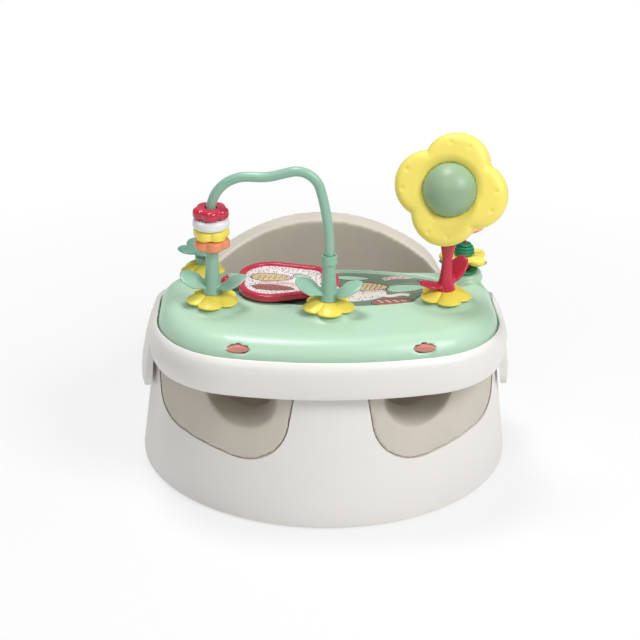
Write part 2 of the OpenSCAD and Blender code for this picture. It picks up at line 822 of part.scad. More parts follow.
// Draws a bent tube from its runs: a step is [length, bend radius, bend angle].
// A run is a hair slimmer than the bends and reaches a little way into them.
run_in = 0.5;
run_slim = 0.02;
module bent_tube(steps, r, i = 0) {
    if (i < len(steps)) {
        run = steps[i][0];
        bend = steps[i][1];
        turn = steps[i][2];
        translate([0, 0, -run_in]) cylinder(r = r - run_slim, h = run + 2 * run_in);
        side = turn > 0 ? 1 : -1;
        translate([0, 0, run]) {
            if (turn != 0) translate([side * bend, 0, 0]) rotate([-90, 0, 0])
                rotate([0, 0, side > 0 ? 180 : 0]) rotate([0, 0, side > 0 ? 0 : turn])
                    rotate_extrude(angle = abs(turn)) translate([bend, 0]) circle(r, $fn = 32);
            translate([side * bend, 0, 0]) rotate([0, turn, 0]) translate([-side * bend, 0, 0])
                bent_tube(steps, r, i + 1);
        }
    }
}

arch_steps = [
    [bend_z - stem_top + tube_in, bend_r, 90],
    [flat_run, dip_r, -dip_a],
    [rise_run, crest_r, 90],
    [down_run, down_r, dip_a],
    [down_end_z - stem_top + tube_in, 1, 0]
];
module arch_tube() {
    color(sage) translate(toy_place(0)) rotate([0, 0, arch_turn])
        translate([0, 0, stem_top - tube_in]) bent_tube(arch_steps, tube_r);
}

// ---- beads ----
// A round-edged disc
module puck(r, h, e) {
    rotate_extrude() {
        translate([0, 0]) square([r - e, h]);
        translate([0, e]) square([r, h - 2 * e]);
        for (z = [e, h - e]) translate([r - e, z]) circle(e, $fn = 32);
    }
}

// Outline radius of a ring of round lobes, at an angle from the nearest lobe's middle
function lobed_r(ring, lobe_r, a) = ring * cos(a) + sqrt(pow(lobe_r, 2) - pow(ring * sin(a), 2));

// Outline points of a ring of lobes
function lobed(ring, lobe_r, lobes, per_lobe) =
    let (step = 360 / lobes)
    [for (i = [0:lobes - 1]) for (j = [0:per_lobe - 1])
        let (a = step * (j / per_lobe - 0.5), r = lobed_r(ring, lobe_r, a), t = a + i * step)
        [r * cos(t), r * sin(t)]];

// A lobed cake with its edges rounded; profile is a list of [inset, height], from the bottom
module lobed_cake(ring, lobe_r, lobes, profile, per_lobe = 12) {
    m = lobes * per_lobe;
    n = len(profile);
    polyhedron(
        points = [for (s = profile) for (p = lobed(ring, lobe_r - s[0], lobes, per_lobe))
            [p[0], p[1], s[1]]],
        faces = concat(
            [[for (j = [0:m - 1]) j]],
            [for (i = [0:n - 2]) for (j = [0:m - 1])
                let (k = i + 1, l = (j + 1) % m)
                [i * m + j, k * m + j, k * m + l, i * m + l]],
            [[for (j = [m - 1:-1:0]) (n - 1) * m + j]]));
}

// Rounded edge of a profile: insets and heights along a quarter circle
function round_low(e, n = 5) = [for (i = [0:n]) let (a = 90 * i / n) [e * (1 - sin(a)), e * (1 - cos(a))]];
function round_top(h, e, n = 5) =
    [for (i = [0:n]) let (a = 90 * i / n) [e * (1 - cos(a)), h - e * (1 - sin(a))]];

module bead(lobes, lobe_r, e) {
    difference() {
        lobed_cake(bead_r - lobe_r, lobe_r, lobes, concat(round_low(e), round_top(bead_h, e)));
        translate([0, 0, -1]) cylinder(r = bead_hole_r, h = bead_h + 2);
    }
}

module place_bead(i) {
    translate([left_at[0], left_at[1], bead_z[i]]) children();
}

module bead_orange() {
    color(orange) place_bead(0) bead(5, 9.6, 3.8);
}

module bead_yellow() {
    color(yellow) place_bead(1) rotate([0, 0, 18]) bead(5, 9.4, 3.8);
}

module bead_white() {
    color("white") place_bead(2) difference() {
        puck(bead_r, bead_h, 4);
        translate([0, 0, -1]) cylinder(r = bead_hole_r, h = bead_h + 2);
    }
}

module bead_crimson() {
    color(crimson) place_bead(3) rotate([0, 0, 54]) bead(5, 9.2, 3.8);
}

// ---- flower ----
head_yaw = -18;
head_pitch = 18;
head_z = toy_z + 114;
head_t = 14;
petal_r = 33;
petal_ring = 23;
lobes = 4;
petal_edge = 8.5;
neck_z = head_z - petal_ring - petal_r + 12;
axle_r = 2;
ball_gap = 0.9;
head_gap = 0.04;
head_turn = -8;
axle_reach = ball_r + 10;

// The head's own frame: its face looks along its +Z, tilted to face the child
module head_frame() {
    translate([flower_at[0], flower_at[1], head_z]) rotate([0, 0, head_yaw])
        rotate([90 - head_pitch, 0, 0]) children();
}

module head_half() {
    rotate([0, 0, head_turn]) lobed_cake(petal_ring, petal_r, lobes,
        concat([[0, head_gap]], round_top(head_t, petal_edge, 6)), 18);
}

// One petal of the back half, its edge rounded in two steps
module back_petal() {
    step = petal_edge / 2;
    cylinder(r = petal_r, h = head_t - 2 * step);
    translate([0, 0, head_t - 2 * step]) cylinder(r1 = petal_r, r2 = petal_r - 0.3 * step, h = step);
    translate([0, 0, head_t - step]) cylinder(r1 = petal_r - 0.3 * step, r2 = petal_r - 1.5 * step, h = step);
}

module head_cuts() {
    sphere(ball_r + ball_gap, $fn = 96);
    rotate([0, 90, 0]) translate([0, 0, -axle_reach - 1])
        cylinder(r = axle_r + 0.02, h = 2 * axle_reach + 2);
}

module stem_socket() {
    translate([flower_at[0], flower_at[1], neck_z - 12]) cylinder(r = 6.2, h = 22.2);
}

screw_spots = [for (a = [-8, 82, 172, 245]) [(ball_r + 12) * cos(a), (ball_r + 12) * sin(a)]];
module flower_head_front() {
    color(yellow) difference() {
        head_frame() difference() {
            head_half();
            head_cuts();
            for (p = screw_spots) translate([p[0], p[1], -1]) cylinder(r = screw_r + 0.05, h = 9);
        }
        stem_socket();
    }
}

module flower_head_back() {
    color(yellow) difference() {
        head_frame() difference() {
            mirror([0, 0, 1]) {
                for (i = [0:lobes - 1]) rotate([0, 0, head_turn + i * 360 / lobes])
                    translate([petal_ring, 0, 0]) back_petal();
            }
            head_cuts();
            for (p = screw_spots) translate([p[0], p[1], -head_t - 1]) {
                cylinder(r = screw_r + screw_clear, h = head_t + 2);
                cylinder(r = 4.2, h = 5);
            }
        }
        stem_socket();
    }
}

module head_screws() {
    color(steel) head_frame() for (p = screw_spots) translate([p[0], p[1], 0]) {
        translate([0, 0, -head_t + 1.6]) cylinder(r = 3.6, h = 2.3);
        translate([0, 0, -head_t + 2]) cylinder(r = screw_r, h = head_t + 4);
    }
}

module flower_ball() {
    color(sage) head_frame() rotate([0, 90, 0]) rotate_extrude($fn = 96) intersection() {
        circle(ball_r);
        translate([axle_r + run_gap, -ball_r]) square(2 * ball_r);
    }
}

module ball_axle() {
    color(steel) head_frame() rotate([0, 90, 0]) translate([0, 0, -axle_reach])
        cylinder(r = axle_r, h = 2 * axle_reach);
}

module flower_stem() {
    waist_z = stem_low + 32;
    color(crimson) translate(toy_place(2)) {
        toy_peg(stem_low + 6);
        difference() {
            union() {
                translate([0, 0, stem_low]) cylinder(r1 = 9.5, r2 = 7, h = 12);
                translate([0, 0, stem_low + 12]) cylinder(r1 = 7, r2 = 5.6, h = waist_z - stem_low - 12);
                translate([0, 0, waist_z]) cylinder(r1 = 5.6, r2 = 7.2, h = neck_z - waist_z - 13);
                translate([0, 0, neck_z - 14]) cylinder(r = 6, h = 22);
                rotate([0, 0, 190]) translate([0, 0, leaf_z - 1]) leaf(27, 20, 5, 12, 2);
                rotate([0, 0, 40]) translate([0, 0, leaf_z]) leaf(36, 24, 5, 45, 1);
            }
            translate([0, 0, peg_low - 1]) cylinder(r = screw_r + 0.05, h = 17);
        }
    }
}

// ---- clover spinner ----
post_r = 3;
spin_z = stem_low + 9;
module clover_post() {
    color(sage) translate(toy_place(3)) {
        toy_peg(stem_low + 4);
        translate([0, 0, stem_low + 4 - eps]) cylinder(r = 8, h = spin_z - stem_low - 4.4);
        translate([0, 0, spin_z - 2]) cylinder(r = post_r, h = 13.5);
        translate([0, 0, spin_z + 9.6]) cylinder(r1 = 5, r2 = 3.4, h = 3);
    }
}

module clover_spinner() {
    color(sage) translate(toy_place(3)) difference() {
        union() {
            translate([0, 0, spin_z]) cylinder(r1 = 8, r2 = 6.4, h = 9.2);
            for (a = [20:90:290]) rotate([0, 0, a]) translate([0, 0, spin_z + 4])
                leaf(27, 20, 4.4, 24, 2);
        }
        translate([0, 0, spin_z - 5]) cylinder(r = post_r + run_gap, h = 30);
        translate([0, 0, spin_z + 9.2]) cylinder(r = 9, h = 12);
    }
}

// ---- bug toy ----
bug_z = toy_z + 0.1 + 3;
petal_z = bug_z + 8.5;
dome_z = petal_z + 8.4;
dome_r = 11;
dome_rings = 4;
wing_z = dome_z + 19;
module bug_leaves() {
    color(emerald) translate(toy_place(4)) difference() {
        union() {
            translate([0, 0, toy_z + 0.1]) cylinder(r = 15, h = 3);
            for (a = [150, 250, 20]) rotate([0, 0, a]) translate([0, 0, toy_z + 2.4])
                leaf(20, 14, 3, 8, 8);
        }
        translate([0, 0, toy_z - 1]) cylinder(r = peg_r + peg_gap, h = 12);
    }
}

// Post that carries the petals, the dome and the pin of the wings
module bug_post() {
    color(crimson) translate(toy_place(4)) {
        toy_peg(petal_z - 1.2);
        translate([0, 0, petal_z - 1.6]) cylinder(r = post_r, h = dome_z - petal_z + 6);
        translate([0, 0, dome_z + 4]) cylinder(r = 1.5, h = wing_z - dome_z + 3.2);
        translate([0, 0, wing_z + 5.4]) cylinder(r1 = 2.6, r2 = 1.8, h = 2);
    }
}

module bug_petals() {
    color(yellow) translate(toy_place(4)) difference() {
        union() {
            translate([0, 0, petal_z]) cylinder(r = 12, h = 7.6);
            for (i = [0:4]) rotate([0, 0, 30 + i * 72]) translate([16.5, 0, petal_z])
                puck(9.4, 7.6, 3.7);
        }
        translate([0, 0, petal_z - 3]) cylinder(r = post_r + run_gap, h = 20);
    }
}

// The ribbed dome: a stack of rings that shrink along a round profile
module bug_dome() {
    ring_h = dome_r / dome_rings;
    color(emerald) translate(toy_place(4)) difference() {
        for (i = [0:dome_rings - 1]) {
            r = sqrt(pow(dome_r, 2) - pow(i * ring_h, 2));
            translate([0, 0, dome_z + i * ring_h]) puck(r, ring_h + 0.3, 1.3);
        }
        translate([0, 0, dome_z - 5]) cylinder(r = post_r + 0.1, h = 9.4);
        translate([0, 0, dome_z]) cylinder(r = 1.6, h = 20);
    }
}

module bug_wings() {
    color(orange) translate(toy_place(4)) difference() {
        union() {
            translate([0, 0, wing_z]) cylinder(r = 4, h = 5);
            for (a = [12, 192]) rotate([0, 0, a]) translate([0, 0, wing_z + 2.6])
                leaf(18, 12, 4.6, 18, 3.4);
        }
        translate([0, 0, wing_z - 4]) cylinder(r = 1.5 + run_gap, h = 20);
    }
}

base_shell();
base_plate();
plate_screws();
foot_pads();
seat_insert();
tray_body();
play_panel();
print_insert();
panel_catch_left();
panel_catch_right();
catch_spring_left();
catch_spring_right();
page_frame();
page_card();
page_pin();
left_dish();
middle_dish();
flower_dish();
clover_dish();
toy_screws();
left_stem();
middle_stem();
arch_tube();
bead_crimson();
bead_white();
bead_yellow();
bead_orange();
flower_stem();
flower_head_front();
flower_head_back();
head_screws();
flower_ball();
ball_axle();
clover_post();
clover_spinner();
bug_leaves();
bug_post();
bug_petals();
bug_dome();
bug_wings();
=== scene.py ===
"""Dresses the baby floor seat: moulded plastic shell, tray and play panel, a soft foam seat,
five toys and a turning picture page. Lengths are written in millimetres and placed in metres."""
import json
import math

import bmesh
import bpy
from mathutils import Matrix, Vector

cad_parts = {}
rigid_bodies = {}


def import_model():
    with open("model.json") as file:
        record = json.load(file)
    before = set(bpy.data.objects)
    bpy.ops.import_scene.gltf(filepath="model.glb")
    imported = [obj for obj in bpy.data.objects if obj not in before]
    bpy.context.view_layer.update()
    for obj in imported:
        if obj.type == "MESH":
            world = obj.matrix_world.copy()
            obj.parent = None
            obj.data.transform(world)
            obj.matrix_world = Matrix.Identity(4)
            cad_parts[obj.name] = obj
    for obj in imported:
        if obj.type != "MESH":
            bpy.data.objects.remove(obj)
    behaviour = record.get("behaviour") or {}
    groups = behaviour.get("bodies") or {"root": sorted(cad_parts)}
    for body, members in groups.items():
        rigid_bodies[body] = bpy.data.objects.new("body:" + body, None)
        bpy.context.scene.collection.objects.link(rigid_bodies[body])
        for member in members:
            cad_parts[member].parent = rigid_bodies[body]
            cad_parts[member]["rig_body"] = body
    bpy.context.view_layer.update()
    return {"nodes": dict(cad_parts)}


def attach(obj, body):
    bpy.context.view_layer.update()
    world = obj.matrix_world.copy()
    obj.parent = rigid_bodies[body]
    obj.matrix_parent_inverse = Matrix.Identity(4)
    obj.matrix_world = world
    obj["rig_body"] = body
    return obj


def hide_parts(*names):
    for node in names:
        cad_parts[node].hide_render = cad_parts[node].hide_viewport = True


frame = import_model()
nodes = frame["nodes"]
MM = 0.001


# ---- camera ----

CAMERA_DOWN, CAMERA_LEFT, CAMERA_ROLL = 25.6, -2.0, 0.7
CAMERA_AIM, CAMERA_AWAY = (-6, 0, 146), 1450
PICTURE_SIDE, FOCAL_STEPS = 640, 1350
FILM_SIDE = 36


def set_camera():
    """Looks down at the seat from the front, as the photograph does."""
    down, left, roll = (math.radians(a) for a in (CAMERA_DOWN, CAMERA_LEFT, CAMERA_ROLL))
    back = Vector((math.sin(left) * math.cos(down), -math.cos(left) * math.cos(down),
                   math.sin(down)))
    right = (-back).cross(Vector((0, 0, 1))).normalized()
    up = right.cross(-back)
    right_rolled = math.cos(roll) * right + math.sin(roll) * up
    up_rolled = -math.sin(roll) * right + math.cos(roll) * up
    place = Vector(CAMERA_AIM) + back * CAMERA_AWAY
    camera = bpy.data.objects.new("seat_camera", bpy.data.cameras.new("seat_camera"))
    bpy.context.scene.collection.objects.link(camera)
    turn = Matrix((right_rolled, up_rolled, back)).transposed().to_4x4()
    camera.matrix_world = Matrix.Translation(place * MM) @ turn
    camera.data.sensor_width = FILM_SIDE
    camera.data.lens = FILM_SIDE * FOCAL_STEPS / PICTURE_SIDE
    camera.data.clip_start = 0.05
    camera.data.clip_end = 20
    bpy.context.scene.camera = camera


# ---- finishes ----

def paint(red, green, blue):
    """A paint-chip colour in steps of 0 to 255, as the shader's linear values."""
    def linear(step):
        c = step / 255
        return c / 12.92 if c <= 0.04045 else ((c + 0.055) / 1.055) ** 2.4
    return (linear(red), linear(green), linear(blue), 1)


def shade(colour, factor):
    """The same colour, lighter or darker by a factor."""
    return tuple(min(1, c * factor) for c in colour[:3]) + (1,)


NOISE_LOW, NOISE_HIGH = 0.3, 0.7
SPOT_BLUR = 0.04


class Finish:
    """A material being built: keeps the node tree and links sockets in one short call."""

    def __init__(self, name):
        self.material = bpy.data.materials.new(name)
        self.material.use_nodes = True
        self.tree = self.material.node_tree
        self.shader = self.tree.nodes["Principled BSDF"]
        self.coords = self.tree.nodes.new("ShaderNodeTexCoord").outputs["Object"]

    def node(self, kind, **inputs):
        made = self.tree.nodes.new("ShaderNode" + kind)
        for name, value in inputs.items():
            socket = made.inputs[name.replace("_", " ")]
            if isinstance(value, bpy.types.NodeSocket):
                self.tree.links.new(value, socket)
            else:
                socket.default_value = value
        return made

    def cloud(self, scale, detail=2):
        """Noise with about 1/scale metres between its lumps."""
        return self.node("TexNoise", Vector=self.coords, Scale=scale, Detail=detail).outputs["Fac"]

    def between(self, factor, low, high):
        """A number that runs from low to high with factor."""
        made = self.node("MapRange", Value=factor)
        made.inputs["From Min"].default_value = NOISE_LOW
        made.inputs["From Max"].default_value = NOISE_HIGH
        made.inputs["To Min"].default_value = low
        made.inputs["To Max"].default_value = high
        return made.outputs["Result"]

    def blend(self, factor, first, second):
        mix = self.tree.nodes.new("ShaderNodeMix")
        mix.data_type = "RGBA"
        for index, value in ((0, factor), (6, first), (7, second)):
            if isinstance(value, bpy.types.NodeSocket):
                self.tree.links.new(value, mix.inputs[index])
            else:
                mix.inputs[index].default_value = value
        return mix.outputs[2]

    def set(self, **inputs):
        for name, value in inputs.items():
            socket = self.shader.inputs[name.replace("_", " ")]
            if isinstance(value, bpy.types.NodeSocket):
                self.tree.links.new(value, socket)
            else:
                socket.default_value = value

    def bump(self, height, depth, strength=0.6, normal=None):
        made = self.node("Bump", Height=height, Strength=strength, Distance=depth * MM)
        if normal is not None:
            self.tree.links.new(normal, made.inputs["Normal"])
        return made.outputs["Normal"]


def moulded_plastic(name, colour, roughness, grain=0.03, coat=0.0, mottle=0.02, specular=0.5,
                    sink=0.05):
    """Injection-moulded plastic: a fine spark texture, faint flow mottling and uneven gloss."""
    f = Finish(name)
    flow = f.between(f.cloud(14, 3), 0, 1)
    f.set(Base_Color=f.blend(flow, shade(colour, 1 - mottle), shade(colour, 1 + mottle)),
          Roughness=f.between(f.cloud(45, 4), roughness - 0.03, roughness + 0.04),
          Normal=f.bump(f.cloud(1400, 3), grain, 0.5, f.bump(f.cloud(40, 1), sink, 0.15)))
    f.set(Coat_Weight=coat, Coat_Roughness=0.12, Specular_IOR_Level=specular)
    return f.material


def skinned_foam(name, colour):
    """Moulded foam with its own soft skin: fine pebbles, tiny pores and a faint sheen."""
    f = Finish(name)
    pebbles = f.node("TexVoronoi", Vector=f.coords, Scale=520.0)
    pebbles.feature = "SMOOTH_F1"
    pores = f.cloud(1700, 2)
    patches = f.between(f.cloud(24, 3), 0, 1)
    f.set(Base_Color=f.blend(patches, shade(colour, 0.965), shade(colour, 1.03)),
          Roughness=f.between(f.cloud(70, 3), 0.6, 0.72),
          Normal=f.bump(pores, 0.03, 0.35, f.bump(pebbles.outputs["Distance"], 0.09, 0.35)))
    f.set(Sheen_Weight=0.12, Sheen_Roughness=0.5, Specular_IOR_Level=0.35)
    return f.material


def printed_film(name, colour, spotted=None, spot_scale=300.0, spot_size=0.28):
    """Ink under a thin clear film, with halftone-like specks where a second colour is given."""
    f = Finish(name)
    ground = f.blend(f.between(f.cloud(60, 2), 0, 1), shade(colour, 0.96), shade(colour, 1.03))
    if spotted:
        specks = f.node("TexVoronoi", Vector=f.coords, Scale=spot_scale, Randomness=0.85)
        edge = f.node("MapRange", Value=specks.outputs["Distance"])
        edge.inputs["From Min"].default_value = spot_size
        edge.inputs["From Max"].default_value = spot_size + SPOT_BLUR
        edge.inputs["To Min"].default_value = 1
        edge.inputs["To Max"].default_value = 0
        ground = f.blend(edge.outputs["Result"], ground, spotted)
    f.set(Base_Color=ground, Roughness=f.between(f.cloud(110, 3), 0.28, 0.4),
          Normal=f.bump(f.cloud(700, 3), 0.02, 0.3))
    f.set(Coat_Weight=0.25, Coat_Roughness=0.2)
    return f.material


def drawn_steel(name):
    """Zinced steel wire: grey, with fine uneven scratches."""
    f = Finish(name)
    patches = f.between(f.cloud(90, 3), 0, 1)
    f.set(Base_Color=f.blend(patches, paint(176, 178, 182), paint(196, 198, 202)),
          Roughness=f.between(f.cloud(600, 3), 0.25, 0.4),
          Normal=f.bump(f.cloud(1800, 2), 0.01, 0.4))
    f.set(Metallic=1.0)
    return f.material


WHITE = paint(238, 235, 231)
MINT = paint(184, 217, 192)
TAUPE = paint(209, 202, 189)
SAGE = paint(150, 192, 170)
YELLOW = paint(253, 232, 96)
CRIMSON = paint(200, 38, 70)
ORANGE = paint(244, 152, 110)
EMERALD = paint(28, 140, 104)
INK = paint(66, 60, 64)

finishes = {
    "shell_white": moulded_plastic("satin white shell plastic", WHITE, 0.4, 0.05, mottle=0.01),
    "plate_white": moulded_plastic("plain white plate plastic", paint(228, 226, 222), 0.5, 0.05),
    "foot_rubber": moulded_plastic("dark foot rubber", paint(70, 70, 72), 0.75, 0.12, specular=0.3),
    "screw_steel": drawn_steel("zinced screw steel"),
    "foam_taupe": skinned_foam("taupe skinned foam", TAUPE),
    "panel_mint": moulded_plastic("mint panel plastic", MINT, 0.34, 0.008, 0.06, mottle=0.003,
                                  sink=0.004),
    "picture_print": printed_film("grey-green printed ground", paint(112, 134, 116)),
    "catch_pink": moulded_plastic("coral catch plastic", paint(216, 140, 128), 0.3),
    "page_crimson": moulded_plastic("glossy crimson page plastic", CRIMSON, 0.16, 0.01, 0.5),
    "card_print": printed_film("speckled card ground", paint(240, 230, 230), INK, 330.0, 0.27),
    "dish_yellow": moulded_plastic("yellow dish plastic", YELLOW, 0.32, 0.03),
    "stem_sage": moulded_plastic("sage stem plastic", SAGE, 0.32, 0.03),
    "bead_crimson": moulded_plastic("glossy crimson bead plastic", CRIMSON, 0.16, 0.01, 0.4),
    "bead_white": moulded_plastic("white bead plastic", paint(240, 240, 242), 0.3),
    "bead_yellow": moulded_plastic("yellow bead plastic", YELLOW, 0.26),
    "bead_orange": moulded_plastic("orange bead plastic", ORANGE, 0.3),
    "flower_yellow": moulded_plastic("soft yellow petal plastic", paint(253, 233, 112), 0.42, 0.06),
    "stem_crimson": moulded_plastic("crimson stem plastic", paint(202, 42, 70), 0.26, 0.02, 0.2),
    "leaf_emerald": moulded_plastic("emerald leaf plastic", EMERALD, 0.3),
    "wing_orange": moulded_plastic("orange wing plastic", ORANGE, 0.34),
}
ball_sage = moulded_plastic("sage roller ball plastic", paint(150, 178, 144), 0.4, 0.04)
# The clover's sage is the stem plastic darkened: painted shade for the shadow of the beads above
# it.
shade_painted_clover_sage = moulded_plastic("sage clover plastic darkened for painted shade", paint(112, 160, 140), 0.32, 0.03)

node_slot = {
    "base_shell": "shell_white", "base_plate": "plate_white", "plate_screws": "screw_steel",
    "foot_pads": "foot_rubber", "seat_insert": "foam_taupe", "tray_body": "shell_white",
    "play_panel": "panel_mint", "print_insert": "picture_print", "panel_catch_left": "catch_pink",
    "panel_catch_right": "catch_pink", "catch_spring_left": "screw_steel",
    "catch_spring_right": "screw_steel", "page_frame": "page_crimson", "page_card": "card_print",
    "page_pin": "screw_steel", "left_dish": "dish_yellow", "middle_dish": "dish_yellow",
    "flower_dish": "dish_yellow", "clover_dish": "dish_yellow", "toy_screws": "screw_steel",
    "left_stem": "stem_sage", "middle_stem": "stem_sage", "arch_tube": "stem_sage",
    "bead_crimson": "bead_crimson", "bead_white": "bead_white", "bead_yellow": "bead_yellow",
    "bead_orange": "bead_orange", "flower_stem": "stem_crimson",
    "flower_head_front": "flower_yellow", "flower_head_back": "flower_yellow",
    "head_screws": "screw_steel", "flower_ball": "stem_sage", "ball_axle": "screw_steel",
    "clover_post": "stem_sage", "clover_spinner": "stem_sage", "bug_leaves": "leaf_emerald",
    "bug_post": "stem_crimson", "bug_petals": "flower_yellow", "bug_dome": "leaf_emerald",
    "bug_wings": "wing_orange",
}


def finish_nodes():
    """Gives every CAD node its finish."""
    for name, obj in nodes.items():
        obj.data.materials.clear()
        obj.data.materials.append(finishes[node_slot[name]])
    nodes["flower_ball"].data.materials[0] = ball_sage


# ---- ways of making pieces ----

def new_object(name, mesh):
    """An object in the scene, at the origin, that shows a mesh."""
    obj = bpy.data.objects.new(name, mesh)
    bpy.context.scene.collection.objects.link(obj)
    return obj


def solid_object(name, bm):
    """Closes off a mesh in the making: faces outwards, and an object to hold it."""
    bmesh.ops.recalc_face_normals(bm, faces=bm.faces)
    mesh = bpy.data.meshes.new(name)
    bm.to_mesh(mesh)
    bm.free()
    return new_object(name, mesh)


def merged_copy(name, *names):
    """The solids of some CAD nodes as one mesh with shared corners."""
    bm = bmesh.new()
    for n in names:
        bm.from_mesh(nodes[n].data)
    bmesh.ops.remove_doubles(bm, verts=bm.verts, dist=0.000002)
    mesh = bpy.data.meshes.new(name)
    bm.to_mesh(mesh)
    bm.free()
    return new_object(name, mesh)


def baked(obj):
    """Turns the object's modifiers into its mesh."""
    finished = obj.evaluated_get(bpy.context.evaluated_depsgraph_get())
    result = bpy.data.meshes.new_from_object(finished)
    obj.modifiers.clear()
    obj.data = result
    return obj


def smooth_faces(obj, angle=None):
    """Smooth shading, with edges kept sharp past an angle if one is given."""
    obj.data.shade_smooth()
    if angle is not None:
        obj.data.set_sharp_from_angle(angle=math.radians(angle))


def stand_for(obj, *names, material=None):
    """Gives a piece the finish of the CAD nodes that it shows, and their body."""
    slot = node_slot[names[0]]
    obj.data.materials.clear()
    obj.data.materials.append(material or finishes[slot])
    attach(obj, nodes[names[0]]["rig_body"])
    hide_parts(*names)
    return obj


def soft_moulded(name, voxel, passes, *names, shape=None, material=None, extra=()):
    """The CAD nodes, with extra pieces if any, as one skin whose edges run into smooth fillets."""
    obj = merged_copy(name, *names)
    bm = bmesh.new()
    bm.from_mesh(obj.data)
    for piece in extra:
        bm.from_mesh(piece.data)
        bpy.data.objects.remove(piece)
    bm.to_mesh(obj.data)
    bm.free()
    remesh = obj.modifiers.new("skin", "REMESH")
    remesh.mode = "VOXEL"
    remesh.voxel_size = voxel * MM
    ease = obj.modifiers.new("ease", "SMOOTH")
    ease.factor = 0.5
    ease.iterations = passes
    baked(obj)
    if shape:
        for v in obj.data.vertices:
            v.co = shape(v.co / MM) * MM
    smooth_faces(obj)
    return stand_for(obj, *names, material=material)


def carve(obj, cutter, operation="DIFFERENCE"):
    """Cuts one closed mesh with another and throws the cutter away."""
    cut = obj.modifiers.new("cut", "BOOLEAN")
    cut.operation = operation
    cut.solver = "EXACT"
    cut.object = cutter
    baked(obj)
    bpy.data.objects.remove(cutter)


def prism(name, outline, y0, y1, side=1):
    """A solid whose outline is drawn in X and Z and runs along Y."""
    bm = bmesh.new()
    near = [bm.verts.new((side * x * MM, y0 * MM, z * MM)) for x, z in outline]
    far = [bm.verts.new((side * x * MM, y1 * MM, z * MM)) for x, z in outline]
    bm.faces.new(near)
    bm.faces.new(far[::-1])
    for i in range(len(outline)):
        j = (i + 1) % len(outline)
        bm.faces.new((near[i], near[j], far[j], far[i]))
    return solid_object(name, bm)


SHARP_EDGE, FLAT_JOINT = 32, 0.6


def crisp_moulded(name, edge, *names, cutters=(), shape=None):
    """The CAD nodes, cut and shaped if asked, with a small radius on every sharp edge."""
    obj = merged_copy(name, *names)
    for cutter in cutters:
        carve(obj, cutter)
    if shape:
        for v in obj.data.vertices:
            v.co = shape(v.co / MM) * MM
    bm = bmesh.new()
    bm.from_mesh(obj.data)
    bmesh.ops.dissolve_limit(bm, angle_limit=math.radians(FLAT_JOINT), verts=bm.verts,
                             edges=bm.edges)
    bm.to_mesh(obj.data)
    bm.free()
    bevel = obj.modifiers.new("edge", "BEVEL")
    bevel.width = edge * MM
    bevel.segments = 2
    bevel.limit_method = "ANGLE"
    bevel.angle_limit = math.radians(SHARP_EDGE)
    bevel.use_clamp_overlap = True
    bevel.harden_normals = False
    weigh = obj.modifiers.new("flats", "WEIGHTED_NORMAL")
    weigh.keep_sharp = True
    smooth_faces(obj)
    return stand_for(obj, *names)


# ---- floor and light ----

def seen_by(tree, first, second):
    """1 for two kinds of ray and 0 for the rest."""
    path = tree.nodes.new("ShaderNodeLightPath")
    seen = tree.nodes.new("ShaderNodeMath")
    seen.operation = "MAXIMUM"
    tree.links.new(path.outputs[first], seen.inputs[0])
    tree.links.new(path.outputs[second], seen.inputs[1])
    return seen.outputs[0]


FLOOR_HALF = 8
SHADOW_REACH, GLOW_REACH = 0.3, 0.85
GLOW_UNDER, GLOW_AWAY = 0.66, 1.0


def set_floor():
    """A pale floor that shows the seat's shadow and runs into the white background."""
    mesh = bpy.data.meshes.new("floor")
    h = FLOOR_HALF
    mesh.from_pydata([(-h, -h, 0), (h, -h, 0), (h, h, 0), (-h, h, 0)], [], [(0, 1, 2, 3)])
    floor = new_object("floor", mesh)
    f = Finish("pale studio floor")
    f.set(Base_Color=f.blend(f.cloud(3, 2), paint(236, 236, 236), paint(240, 240, 240)),
          Roughness=0.9)
    f.set(Specular_IOR_Level=0.1)
    glow = f.node("Emission", Color=(1, 1, 1, 1), Strength=1.0)
    away = f.node("VectorMath", Vector=f.coords)
    away.operation = "LENGTH"
    fade = f.node("MapRange", Value=away.outputs["Value"])
    for label, value in (("From Min", SHADOW_REACH), ("From Max", GLOW_REACH),
                         ("To Min", GLOW_UNDER), ("To Max", GLOW_AWAY)):
        fade.inputs[label].default_value = value
    share = f.node("Math")
    share.operation = "MULTIPLY"
    f.tree.links.new(seen_by(f.tree, "Is Camera Ray", "Is Glossy Ray"), share.inputs[0])
    f.tree.links.new(fade.outputs["Result"], share.inputs[1])
    mix = f.tree.nodes.new("ShaderNodeMixShader")
    f.tree.links.new(share.outputs[0], mix.inputs[0])
    f.tree.links.new(f.shader.outputs[0], mix.inputs[1])
    f.tree.links.new(glow.outputs[0], mix.inputs[2])
    f.tree.links.new(mix.outputs[0], f.tree.nodes["Material Output"].inputs["Surface"])
    mesh.materials.append(f.material)


ROOM_LIGHT = 0.27
LAMP_AIM = (0, 0, 0.2)
LAMPS = (("key", (1.2, -1.1, 1.7), 0.9, 27), ("overhead", (-0.3, 0.2, 2.0), 0.5, 18),
         ("glint", (-0.7, -1.4, 1.5), 0.5, 4))


def soft_lamp(name, place, side, power):
    """A square soft lamp that points at the seat; lengths in metres, power in watts."""
    lamp = bpy.data.objects.new(name, bpy.data.lights.new(name, "AREA"))
    bpy.context.scene.collection.objects.link(lamp)
    lamp.data.shape = "RECTANGLE"
    lamp.data.size = lamp.data.size_y = side
    lamp.data.energy = power
    lamp.location = place
    lamp.rotation_euler = (Vector(LAMP_AIM) - Vector(place)).to_track_quat("-Z", "Y").to_euler()


